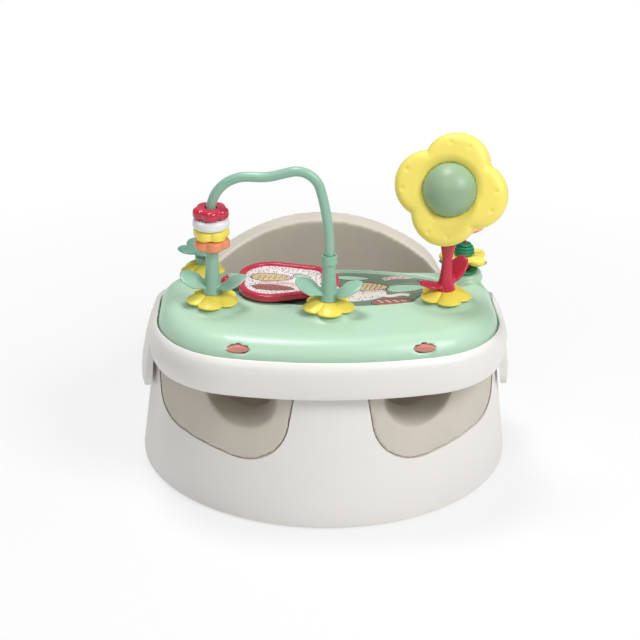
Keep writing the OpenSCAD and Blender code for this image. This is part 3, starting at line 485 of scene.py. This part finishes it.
def set_light():
    """White to the camera, an even dimmer room to the seat, and three soft lamps."""
    world = bpy.data.worlds.new("studio")
    bpy.context.scene.world = world
    world.use_nodes = True
    tree = world.node_tree
    room = tree.nodes["Background"]
    room.inputs["Color"].default_value = (1, 1, 1, 1)
    room.inputs["Strength"].default_value = ROOM_LIGHT
    white = tree.nodes.new("ShaderNodeBackground")
    white.inputs["Strength"].default_value = 1.0
    white.inputs["Color"].default_value = (1, 1, 1, 1)
    mix = tree.nodes.new("ShaderNodeMixShader")
    tree.links.new(seen_by(tree, "Is Camera Ray", "Is Transmission Ray"), mix.inputs[0])
    tree.links.new(room.outputs[0], mix.inputs[1])
    tree.links.new(white.outputs[0], mix.inputs[2])
    tree.links.new(mix.outputs[0], tree.nodes["World Output"].inputs["Surface"])
    for lamp in LAMPS:
        soft_lamp(*lamp)
    bpy.context.scene.view_settings.view_transform = "Standard"


# ---- the seat ----

# Where the toys stand: left, middle, flower, clover and bug
LEFT_TOY, MIDDLE_TOY, FLOWER_TOY, CLOVER_TOY = range(4)
TOYS = [(-116, -78), (-1.01, -94.98), (118, -70), (-129.5, -3), (144, -5)]

FLOOR_R, LEAN, OVAL = 200, 0.14, 182 / 200
RIM_Z = 152
FOAM_IN_R, FOAM_LOW_Z, FOAM_ARM_Z = 148.8, 45, 151.4
FOAM_FLUSH, FOAM_FIT = 0.6, 0.3
CUT_FRONT, CUT_BACK, CUT_SPARE = -230, -20, 10
EDGE_ROUND = 0.8
LEG_IN, LEG_IN_R, LEG_IN_LEAN = (90, 116), 49.6, 10
LEG_OUT, LEG_OUT_R, LEG_OUT_LEAN = (150, 97), 23.2, 6
THIGH, THIGH_R, THIGH_UP = (88, 136), 36, 60


def leg_outline(inset, top):
    """One leg opening seen from the front: two rounded corners joined by a sloping lower edge."""
    r_in, r_out = LEG_IN_R - inset, LEG_OUT_R - inset
    dx, dz = LEG_OUT[0] - LEG_IN[0], LEG_OUT[1] - LEG_IN[1]
    low = math.degrees(math.atan2(dz, dx) - math.acos((r_in - r_out) / math.hypot(dx, dz)))
    points = []
    for (cx, cz), r, a0, a1, n in ((LEG_IN, r_in, 180 + LEG_IN_LEAN, 360 + low, 32),
                                   (LEG_OUT, r_out, low, -LEG_OUT_LEAN, 20)):
        for i in range(n + 1):
            a = math.radians(a0 + (a1 - a0) * i / n)
            points.append((cx + r * math.cos(a), cz + r * math.sin(a)))
    (x0, z0), (x1, z1) = points[0], points[-1]
    first = (x0 - (top - z0) * math.tan(math.radians(LEG_IN_LEAN)), top)
    last = (x1 + (top - z1) * math.tan(math.radians(LEG_OUT_LEAN)), top)
    return [first] + points + [last]


def oval_ring(name, inner_r, low, high, gap, steps=160):
    """The band between a straight oval and the shell's leaning outside."""
    bm = bmesh.new()
    rings = []
    for r, z in ((inner_r, low), (FLOOR_R - LEAN * low - gap, low),
                 (FLOOR_R - LEAN * high - gap, high), (inner_r, high)):
        rings.append([bm.verts.new((r * math.cos(math.tau * i / steps) * MM,
                                    r * OVAL * math.sin(math.tau * i / steps) * MM, z * MM))
                      for i in range(steps)])
    for k in range(4):
        for i in range(steps):
            j = (i + 1) % steps
            bm.faces.new((rings[k][i], rings[k][j], rings[(k + 1) % 4][j], rings[(k + 1) % 4][i]))
    return solid_object(name, bm)


def leg_tongue(side):
    """The foam in one leg opening, level with the shell's outside, with the thigh's channel."""
    tongue = oval_ring("tongue", FOAM_IN_R, FOAM_LOW_Z, FOAM_ARM_Z, FOAM_FLUSH)
    opening = leg_outline(FOAM_FIT, FOAM_ARM_Z + CUT_SPARE / 2)
    carve(tongue, prism("opening", opening, CUT_FRONT, CUT_BACK, side), "INTERSECT")
    (cx, cz), r = THIGH, THIGH_R
    turns = [math.pi + math.pi * i / 40 for i in range(41)]
    channel = [(cx + r * math.cos(a), cz + r * math.sin(a)) for a in turns]
    channel += [(cx + r, cz + THIGH_UP), (cx - r, cz + THIGH_UP)]
    carve(tongue, prism("channel", channel, CUT_FRONT - CUT_SPARE, CUT_BACK + CUT_SPARE, side))
    return tongue


def eased(t):
    """A share from 0 to 1 that starts and ends gently."""
    t = min(1, max(0, t))
    return t * t * (3 - 2 * t)


def turned(x, y, angle):
    """A place as seen along and across a direction."""
    return (x * math.cos(angle) + y * math.sin(angle), -x * math.sin(angle) + y * math.cos(angle))


FLAP_FROM_X, FLAP_HALF_Y = 160, 45
FLAP_LOW, FLAP_FREE, FLAP_LIFT, FLAP_FORWARD = 72, 146, 14, 9
FLAP_STILL_Y, FLAP_BLEND = 30, 60
CORNER_DROP, CORNER_Y, CORNER_Z = 13, (-20, 30), (150, 175)


def tray_shape(v):
    """Draws each flap's tip up and forwards, and slopes its rear top corner down to the panel."""
    if abs(v.x) < FLAP_FROM_X or abs(v.y) > FLAP_HALF_Y:
        return v
    x, y, z = v
    if z < FLAP_FREE:
        low = (FLAP_FREE - z) / (FLAP_FREE - FLAP_LOW)
        r = math.hypot(x, y / OVAL) - LEAN * FLAP_LIFT * low
        y -= FLAP_FORWARD * low * eased((FLAP_STILL_Y - y) / FLAP_BLEND)
        z += FLAP_LIFT * low
        x = math.copysign(math.sqrt(r * r - (y / OVAL) ** 2), x)
    (y0, y1), (z0, z1) = CORNER_Y, CORNER_Z
    z -= CORNER_DROP * eased((y - y0) / (y1 - y0)) * eased((z - z0) / (z1 - z0))
    return Vector((x, y, z))


def make_shell_and_tray():
    """The shell with its leg openings, the tray with its flaps, and the play panel."""
    outline = leg_outline(0, RIM_Z + 2 * CUT_SPARE)
    openings = [prism("opening", outline, CUT_FRONT, CUT_BACK, side) for side in (-1, 1)]
    crisp_moulded("shell", EDGE_ROUND, "base_shell", cutters=openings)
    crisp_moulded("tray", EDGE_ROUND, "tray_body", shape=tray_shape)
    soft_moulded("panel", 1.5, 4, "play_panel")


def make_foam():
    """The foam seat: the solid's corners eased to the round of moulded foam."""
    foam = soft_moulded("foam_seat", 2.2, 6, "seat_insert", extra=[leg_tongue(-1), leg_tongue(1)])


STEM_CLEAR, STEM_BLEND = 9, 6
LEAF_BLEND, LEAF_ROLL, LEAF_WIDEN = 8, 0.24, 0.12


def stem_shape(toy, waist, leaf_turn=None):
    """Gives a stem its waist, as pairs of height and factor, and rolls its leaves to the front."""
    cx, cy = TOYS[toy]

    def shape(v):
        x, y = v.x - cx, v.y - cy
        reach = math.hypot(x, y)
        i = max(k for k in range(len(waist) - 1) if k == 0 or v.z >= waist[k][0])
        (z0, f0), (z1, f1) = waist[i], waist[i + 1]
        factor = f0 + (f1 - f0) * eased((v.z - z0) / (z1 - z0))
        out = 1 + (factor - 1) * (1 - eased((reach - STEM_CLEAR) / STEM_BLEND))
        z = v.z
        if leaf_turn is not None:
            turn = math.radians(leaf_turn)
            along, across = turned(x, y, turn)
            share = eased((abs(along) - STEM_CLEAR) / LEAF_BLEND)
            z += LEAF_ROLL * across * share
            x, y = turned(along, across * (1 + LEAF_WIDEN * share), -turn)
        return Vector((cx + x * out, cy + y * out, z))
    return shape


DISH_Z, DISH_HIGH, DISH_HALF = 206.1, 6.75, 1.25
DISH_HOLE, DISH_FLAT, DISH_DROOP = 5.2, 3.5, 1.9
PETAL_NOTCH, PETAL_ROUND, PETAL_VALLEY = 0.23, 0.55, 2.0


def petal_dish(node, toy, radius, turn, petals=5, steps=24):
    """Five thick petals round a flat middle: each crowned across, and drooping to its tip."""
    cx, cy = TOYS[toy]
    count = petals * steps
    bm = bmesh.new()
    loops = []
    for j in range(count):
        a = math.radians(turn) + math.tau * j / count
        crown = abs(math.cos(petals / 2 * math.tau * j / count))
        edge = radius * (1 - PETAL_NOTCH + PETAL_NOTCH * crown ** PETAL_ROUND) - DISH_HALF

        def middle(r):
            t = max(0, (r - DISH_HOLE - DISH_FLAT) / (edge - DISH_HOLE - DISH_FLAT))
            droop = DISH_HIGH + (DISH_HALF - DISH_HIGH) * t ** DISH_DROOP
            valley = PETAL_VALLEY * (1 - crown) ** 2
            return droop - valley * math.sin(math.pi * min(1, t)) ** 0.8
        radii = [DISH_HOLE + (edge - DISH_HOLE) * k / 11 for k in range(12)]
        section = [(r, middle(r) + DISH_HALF) for r in radii]
        for k in range(1, 6):
            b = math.pi / 2 - math.pi * k / 6
            section.append((edge + DISH_HALF * math.cos(b), middle(edge) + DISH_HALF * math.sin(b)))
        section += [(r, middle(r) - DISH_HALF) for r in radii[::-1]]
        loops.append([bm.verts.new(((cx + r * math.cos(a)) * MM, (cy + r * math.sin(a)) * MM,
                                    (DISH_Z + z) * MM)) for r, z in section])
    n = len(loops[0])
    for j in range(count):
        here, there = loops[j], loops[(j + 1) % count]
        for k in range(n):
            bm.faces.new((here[k], here[(k + 1) % n], there[(k + 1) % n], there[k]))
    dish = solid_object("soft_" + node, bm)
    smooth_faces(dish)
    return stand_for(dish, node)


HEAD = (Matrix.Translation((118, -70, 320)) @ Matrix.Rotation(math.radians(-18), 4, "Z")
        @ Matrix.Rotation(math.radians(72), 4, "X"))
PETAL_TURNS = (-8, 82, 172, 262)
FACE_Z, FACE_BLEND = 3, 6
LIP_R, LIP_WIDE, LIP_DEEP = 28.5, 7, 2.2
DIMPLE_R, DIMPLE_APART, DIMPLE_DEEP, DIMPLE_SPREAD = 46, 12, 0.9, 4


def head_shape(v):
    """Eases the flower's face into the ball's opening and sets a pair of dimples in each petal."""
    p = HEAD.inverted() @ v
    reach = math.hypot(p.x, p.y)
    front = eased((p.z - FACE_Z) / FACE_BLEND)
    dip = LIP_DEEP * max(0, 1 - (reach - LIP_R) / LIP_WIDE) ** 2
    for turn in PETAL_TURNS:
        for side in (-DIMPLE_APART, DIMPLE_APART):
            a = math.radians(turn + side)
            x, y = DIMPLE_R * math.cos(a), DIMPLE_R * math.sin(a)
            away = (p.x - x) ** 2 + (p.y - y) ** 2
            dip += DIMPLE_DEEP * math.exp(-away / DIMPLE_SPREAD)
    p.z -= dip * front
    return HEAD @ p


LOBE_TURN = math.radians(20)
LOBE_HUB, LOBE_BLEND, LOBE_FLATTEN, LOBE_BROADEN = 6, 5, 0.3, 0.28


def clover_shape(v):
    """Lays the clover's lobes flatter and makes them broader."""
    cx, cy = TOYS[CLOVER_TOY]
    x, y = v.x - cx, v.y - cy
    quarter = math.pi / 2
    lobe = LOBE_TURN + quarter * round((math.atan2(y, x) - LOBE_TURN) / quarter)
    along, across = turned(x, y, lobe)
    broader = 1 + LOBE_BROADEN * eased((math.hypot(x, y) - LOBE_HUB) / LOBE_BLEND)
    x, y = turned(along, across * broader, -lobe)
    return Vector((cx + x, cy + y, v.z - LOBE_FLATTEN * max(0, along - LOBE_HUB)))


LEFT_WAIST = [(214, 0.96), (226, 0.93), (244, 0.87), (262, 0.87)]
MIDDLE_WAIST = [(214, 0.9), (226, 0.88), (251, 0.83), (254, 1.12), (262, 1.12)]
FLOWER_WAIST = [(214, 1.05), (222, 0.98), (246, 0.9), (262, 1.05), (275, 1.05)]
BIG_DISH_R, SMALL_DISH_R = 26.5, 23.5


def make_toys():
    """The five toys on the panel, and the ring of the page with the studs on its knob."""
    soft_moulded("smooth_left_stem", 0.9, 5, "left_stem",
                 shape=stem_shape(LEFT_TOY, LEFT_WAIST, -10))
    soft_moulded("smooth_middle_stem", 0.9, 3, "middle_stem",
                 shape=stem_shape(MIDDLE_TOY, MIDDLE_WAIST, -8))
    soft_moulded("smooth_flower_stem", 0.9, 5, "flower_stem",
                 shape=stem_shape(FLOWER_TOY, FLOWER_WAIST))
    petal_dish("left_dish", LEFT_TOY, BIG_DISH_R, -98)
    petal_dish("middle_dish", MIDDLE_TOY, BIG_DISH_R, -88)
    petal_dish("flower_dish", FLOWER_TOY, BIG_DISH_R, -84)
    petal_dish("clover_dish", CLOVER_TOY, SMALL_DISH_R, -90)
    for name in ("bead_crimson", "bead_white", "bead_yellow", "bead_orange"):
        soft_moulded("turned_" + name, 0.6, 4, name)
    soft_moulded("flower_head", 1.1, 8, "flower_head_front", "flower_head_back", shape=head_shape)
    # The clover spinner wears the darkened sage, which is painted shade.
    soft_moulded("smooth_clover_spinner", 0.7, 4, "clover_spinner", shape=clover_shape,
                 material=shade_painted_clover_sage)
    for name in ("bug_petals", "bug_wings", "bug_leaves"):
        soft_moulded("smooth_" + name, 0.7, 4, name)
    soft_moulded("page_ring", 0.8, 6, "page_frame")
    knob_studs()


# ---- printed pictures ----

RECESS_Z, SHEET_GAP, SHEET_THICK = 195.5, 0.1, 1.2
PRINT_TOP = RECESS_Z + SHEET_GAP + SHEET_THICK
PRINT_MIDDLE, PRINT_HALF = (14, -34), (112.5, 44.5)
BOSS_CLEAR = 33
PAGE_Z, CARD_HALF = 206, 0.8
CARD_TOP = PAGE_Z + CARD_HALF
CARD_WIDE_X, CARD_NARROW_X, CARD_Y = -58, -16.9, -32
CARD_WIDE_HALF, CARD_NARROW_HALF = 38, 27
CARD_WIDE_R, CARD_NARROW_R = 27, 11


def leaf_outline(cx, cy, length, width, turn, points=36, bluntness=0.75):
    """An oval with one narrower end, turned by turn degrees."""
    out = []
    for i in range(points):
        a = math.tau * i / points
        y = width / 2 * math.sin(a) * (1 + (bluntness - 1) * math.cos(a))
        x, y = turned(length / 2 * math.cos(a), y, -math.radians(turn))
        out.append((cx + x, cy + y))
    return out


def band_outline(points, width):
    """A stripe of even width along a line of points, with its ends cut square."""
    left, right = [], []
    for i, (x, y) in enumerate(points):
        x0, y0 = points[max(0, i - 1)]
        x1, y1 = points[min(len(points) - 1, i + 1)]
        d = math.hypot(x1 - x0, y1 - y0)
        nx, ny = -(y1 - y0) / d * width / 2, (x1 - x0) / d * width / 2
        left.append((x + nx, y + ny))
        right.append((x - nx, y - ny))
    return left + right[::-1]


def wave(x0, y0, x1, y1, height, waves, steps=24):
    """Points of a wavy line between two places."""
    d = math.hypot(x1 - x0, y1 - y0)
    nx, ny = -(y1 - y0) / d, (x1 - x0) / d
    out = []
    for i in range(steps + 1):
        t = i / steps
        h = height * math.sin(math.tau * waves * t)
        out.append((x0 + (x1 - x0) * t + nx * h, y0 + (y1 - y0) * t + ny * h))
    return out


def inside_print(x, y, margin=1.5):
    """Whether a place on the picture lies on the printed oval, clear of the toys' bosses."""
    (cx, cy), (a, b) = PRINT_MIDDLE, PRINT_HALF
    oval = ((x - cx) / (a - margin)) ** 2 + ((y - cy) / (b - margin)) ** 2 < 1
    return oval and all(math.hypot(x - tx, y - ty) > BOSS_CLEAR for tx, ty in TOYS)


def inside_card(x, y, margin=1.0):
    """Whether a place lies on the page's card, within its frame."""
    for off in (-11, 0, 11):
        if math.hypot(x - CARD_WIDE_X, y - CARD_Y - off) < CARD_WIDE_R - margin:
            return True
    if CARD_WIDE_X <= x <= CARD_NARROW_X:
        t = (x - CARD_WIDE_X) / (CARD_NARROW_X - CARD_WIDE_X)
        half = CARD_WIDE_HALF + (CARD_NARROW_HALF - CARD_WIDE_HALF) * t
        return abs(y - CARD_Y) < half - margin
    return any(math.hypot(x - CARD_NARROW_X, y - CARD_Y - off) < CARD_NARROW_R - margin
               for off in (-16, -8, 0, 8, 16))


def middle_of(points):
    """The mean of some places."""
    return (sum(p[0] for p in points) / len(points), sum(p[1] for p in points) / len(points))


BORDER_WIDTH = 0.8
PULL_STEP = 0.02


class Ink:
    """Gathers flat printed shapes of one colour into a single thin layer."""

    def __init__(self, name, material, level, inside):
        self.name, self.material, self.level, self.inside = name, material, level, inside
        self.verts, self.faces = [], []

    def held(self, outline):
        """The outline, with what lies off the picture pulled in; nothing if its middle does."""
        cx, cy = middle_of(outline)
        if not self.inside(cx, cy):
            return []
        held = []
        for x, y in outline:
            t = 1.0
            while not self.inside(cx + (x - cx) * t, cy + (y - cy) * t) and t > PULL_STEP:
                t -= PULL_STEP
            held.append((cx + (x - cx) * t, cy + (y - cy) * t))
        return held

    def shape(self, outline):
        """Adds a flat filled shape."""
        held = self.held(outline)
        n, count = len(self.verts), len(held)
        if not held:
            return
        self.verts += [(x, y, z) for z in self.level for x, y in held]
        self.faces.append(tuple(n + i for i in range(count - 1, -1, -1)))
        self.faces.append(tuple(n + count + i for i in range(count)))
        for i in range(count):
            j = (i + 1) % count
            self.faces.append((n + i, n + j, n + count + j, n + count + i))

    def border(self, outline):
        """Adds a thin closed line just inside an outline."""
        held = self.held(outline)
        if not held:
            return
        cx, cy = middle_of(held)
        n, up = len(self.verts), 2 * len(held)
        for z in self.level:
            for x, y in held:
                share = max(0.5, 1 - BORDER_WIDTH / math.hypot(x - cx, y - cy))
                self.verts += [(x, y, z), (cx + (x - cx) * share, cy + (y - cy) * share, z)]
        for i in range(len(held)):
            a, b = n + 2 * i, n + 2 * ((i + 1) % len(held))
            self.faces += [(a + up, b + up, b + 1 + up, a + 1 + up), (a, a + 1, b + 1, b),
                           (a, b, b + up, a + up), (a + 1, a + 1 + up, b + 1 + up, b + 1)]

    def lay(self, body, slot):
        """Turns the layer into a piece that rides a body."""
        mesh = bpy.data.meshes.new(self.name)
        mesh.from_pydata([tuple(c * MM for c in v) for v in self.verts], [], self.faces)
        bm = bmesh.new()
        bm.from_mesh(mesh)
        bmesh.ops.triangulate(bm, faces=[f for f in bm.faces if len(f.verts) > 4])
        bmesh.ops.recalc_face_normals(bm, faces=bm.faces)
        bm.to_mesh(mesh)
        bm.free()
        mesh.materials.append(self.material)
        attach(new_object(self.name, mesh), body)


# ---- what repeats ----

def node_tree(name, sizes):
    """A Geometry Nodes tree with named lengths in millimetres, and its input and output nodes."""
    tree = bpy.data.node_groups.new(name, "GeometryNodeTree")
    for label, value in sizes.items():
        kind = "NodeSocketVector" if isinstance(value, tuple) else "NodeSocketFloat"
        kind = "NodeSocketInt" if isinstance(value, int) else kind
        socket = tree.interface.new_socket(label, in_out="INPUT", socket_type=kind)
        socket.default_value = value
    tree.interface.new_socket("Geometry", in_out="OUTPUT", socket_type="NodeSocketGeometry")
    return tree, tree.nodes.new("NodeGroupInput"), tree.nodes.new("NodeGroupOutput")


def wire(tree, kind, **inputs):
    """A Geometry Nodes node with its inputs set or linked."""
    made = tree.nodes.new("GeometryNode" + kind)
    for name, value in inputs.items():
        socket = made.inputs[name.replace("_", " ")]
        if isinstance(value, bpy.types.NodeSocket):
            tree.links.new(value, socket)
        else:
            socket.default_value = value
    return made


def grown(name, tree, last, end, material, body):
    """Ends a tree in real geometry with its material, and turns its result into one mesh."""
    real = wire(tree, "RealizeInstances", Geometry=last)
    dressed = wire(tree, "SetMaterial", Geometry=real.outputs["Geometry"], Material=material)
    tree.links.new(dressed.outputs["Geometry"], end.inputs["Geometry"])
    obj = new_object(name, bpy.data.meshes.new(name))
    maker = obj.modifiers.new("maker", "NODES")
    maker.node_group = tree
    baked(obj)
    bm = bmesh.new()
    bm.from_mesh(obj.data)
    bmesh.ops.scale(bm, vec=(MM, MM, MM), verts=bm.verts)
    bm.to_mesh(obj.data)
    bm.free()
    smooth_faces(obj, 40)
    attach(obj, body)
    return obj


def knob_studs():
    """Round studs all over the page's knob, for small fingers to find."""
    tree, start, end = node_tree("knob studs", {
        "Knob radius": 5.2, "Stud radius": 1.25, "Knob place": (-104.0, -32.0, 206.0)})
    ball = wire(tree, "MeshIcoSphere", Radius=start.outputs["Knob radius"], Subdivisions=2)
    stud = wire(tree, "MeshIcoSphere", Radius=start.outputs["Stud radius"], Subdivisions=2)
    spread = wire(tree, "InstanceOnPoints", Points=ball.outputs["Mesh"],
                  Instance=stud.outputs["Mesh"])
    placed = wire(tree, "Transform", Geometry=spread.outputs["Instances"],
                  Translation=start.outputs["Knob place"])
    grown("knob_studs", tree, placed.outputs["Geometry"], end, finishes["page_crimson"],
          "page")


def ring_of_dots(name, centre, half_length, half_width, turn, dots, radius, material, body):
    """Printed dots spaced evenly round an oval."""
    tree, start, end = node_tree(name, {
        "Dots": dots, "Dot radius": radius, "Ink thickness": 0.3, "Place": centre,
        "Oval": (float(half_length), float(half_width), 1.0),
        "Turn": (0.0, 0.0, math.radians(turn))})
    circle = wire(tree, "CurvePrimitiveCircle", Resolution=96, Radius=1.0)
    oval = wire(tree, "Transform", Geometry=circle.outputs["Curve"], Scale=start.outputs["Oval"],
                Rotation=start.outputs["Turn"], Translation=start.outputs["Place"])
    spots = wire(tree, "ResampleCurve", Curve=oval.outputs["Geometry"], Count=start.outputs["Dots"])
    dot = wire(tree, "MeshCylinder", Vertices=12, Radius=start.outputs["Dot radius"],
               Depth=start.outputs["Ink thickness"])
    spread = wire(tree, "InstanceOnPoints", Points=spots.outputs["Curve"],
                  Instance=dot.outputs["Mesh"])
    grown(name, tree, spread.outputs["Instances"], end, material, body)


inks = {
    "mint": printed_film("pale mint ink", paint(178, 216, 190)),
    "sand": printed_film("sand ink", paint(226, 196, 150), paint(120, 90, 70), 520.0, 0.2),
    "rust": printed_film("rust ink", paint(166, 100, 92)),
    "blush": printed_film("blush ink", paint(224, 188, 182)),
    "cream": printed_film("cream ink", paint(238, 226, 212)),
    "line": printed_film("dark line ink", INK),
    "spotted": printed_film("spotted cream ink", paint(232, 222, 220), INK, 330.0, 0.27),
}


INK_ORDER = ("spotted", "mint", "sand", "rust", "blush", "cream", "line")
INK_SUNK, INK_FIRST, INK_STEP, INK_ON_TOP = 0.3, 0.05, 0.02, 0.2


def ink_layers(prefix, ground, inside):
    """One layer for each ink, each a little higher than the one before it."""
    low, first = ground - INK_SUNK, ground + INK_FIRST
    return {c: Ink(prefix + c, inks[c], (low, first + INK_STEP * k), inside)
            for k, c in enumerate(INK_ORDER)}


def bordered_ovals(layers, ovals):
    """Ovals, as colour, place, length, width and turn, each with a dark line round it."""
    for colour, *oval in ovals:
        layers[colour].shape(leaf_outline(*oval))
        layers["line"].border(leaf_outline(*oval))


def lay_inks(layers, body, slot):
    """Lays the layers that hold any shape."""
    for layer in layers:
        if layer.verts:
            layer.lay(body, slot)


def print_panel():
    """A meadow of plain ovals, leaves and wavy bands on the panel's picture sheet."""
    inked = ink_layers("panel_ink_", PRINT_TOP, inside_print)
    level = (PRINT_TOP - INK_SUNK, PRINT_TOP + INK_ON_TOP)
    top = {c: Ink("panel_top_ink_" + c, inks[c], level, inside_print) for c in ("blush", "cream")}
    inked["spotted"].shape(leaf_outline(30, -44, 62, 36, 6, bluntness=0.9))
    bordered_ovals(inked, [("mint", 82, -30, 42, 19, 8), ("mint", 28, -4, 36, 11, -6),
                           ("sand", 42, -26, 44, 20, -4), ("rust", 66, -63, 46, 15, 10),
                           ("rust", 104, -14, 18, 8, -30)])
    inked["blush"].shape(band_outline(wave(60, -8, 96, 2, 1.5, 1), 7))
    inked["cream"].shape(band_outline(wave(14, -46, 84, -48, 2.2, 2.5), 6))
    inked["cream"].shape(band_outline(wave(30, -74, 60, -77, 0.8, 1), 4))
    inked["blush"].shape(leaf_outline(92, -56, 22, 9, 24))
    for k in range(4):
        vein = wave(50 + 8 * k, -60 - k * 0.6, 56 + 8 * k, -66 + k * 1.5, 0.6, 1)
        top["cream"].shape(band_outline(vein, 1.1))
        top["blush"].shape(leaf_outline(70 + 9 * k, -2 + k * 1.2, 5, 3, 40))
    for k in range(7):
        inked["line"].shape(band_outline(wave(24 + 5 * k, -34, 28 + 5 * k, -20, 0.5, 1, 8), 0.7))
    for k in range(5):
        vein = wave(62 + 6 * k, -9 + k, 65 + 6 * k, -2 + k, 0.3, 1, 8)
        inked["line"].shape(band_outline(vein, 0.6))
        inked["line"].shape(leaf_outline(48 + 9 * k, -70 + 1.2 * k, 2.4, 1.0, 30, 12))
    lay_inks([*inked.values(), *top.values()], "panel", "picture_print")


def print_card():
    """Two leaves, a pond and a wavy path on the page's speckled card."""
    inked = ink_layers("card_ink_", CARD_TOP, inside_card)
    bordered_ovals(inked, [("sand", -58, -24, 42, 19, -8), ("rust", -56, -50, 44, 14, -10),
                           ("mint", -26, -22, 20, 9, -20)])
    inked["blush"].shape(band_outline(wave(-70, -38, -26, -42, 2, 2), 5))
    inked["cream"].shape(leaf_outline(-30, -50, 12, 7, 10))
    for k in range(6):
        vein = wave(-72 + 5.5 * k, -30 + 0.4 * k, -69 + 5.5 * k, -19 - 0.4 * k, 0.5, 1, 8)
        inked["line"].shape(band_outline(vein, 0.7))
        vein = wave(-70 + 5 * k, -46 - 0.8 * k, -67 + 5 * k, -52 - 0.4 * k, 0.3, 1, 8)
        inked["line"].shape(band_outline(vein, 0.6))
    lay_inks(inked.values(), "page", "card_print")


def print_dots():
    """Rings of dots round three of the ovals."""
    ring_of_dots("dots_round_sand", (40.0, -27.0, PRINT_TOP), 24.5, 11.5, -4, 54, 0.55,
                 inks["line"], "panel")
    ring_of_dots("dots_round_pond", (82.0, -30.0, PRINT_TOP), 23, 11, 8, 40, 0.6,
                 inks["cream"], "panel")
    ring_of_dots("dots_on_card", (-58.0, -24.0, CARD_TOP), 22, 10.5, -8, 48, 0.55,
                 inks["line"], "page")


set_camera()
finish_nodes()
make_shell_and_tray()
make_foam()
make_toys()
print_panel()
print_card()
print_dots()
set_floor()
set_light()
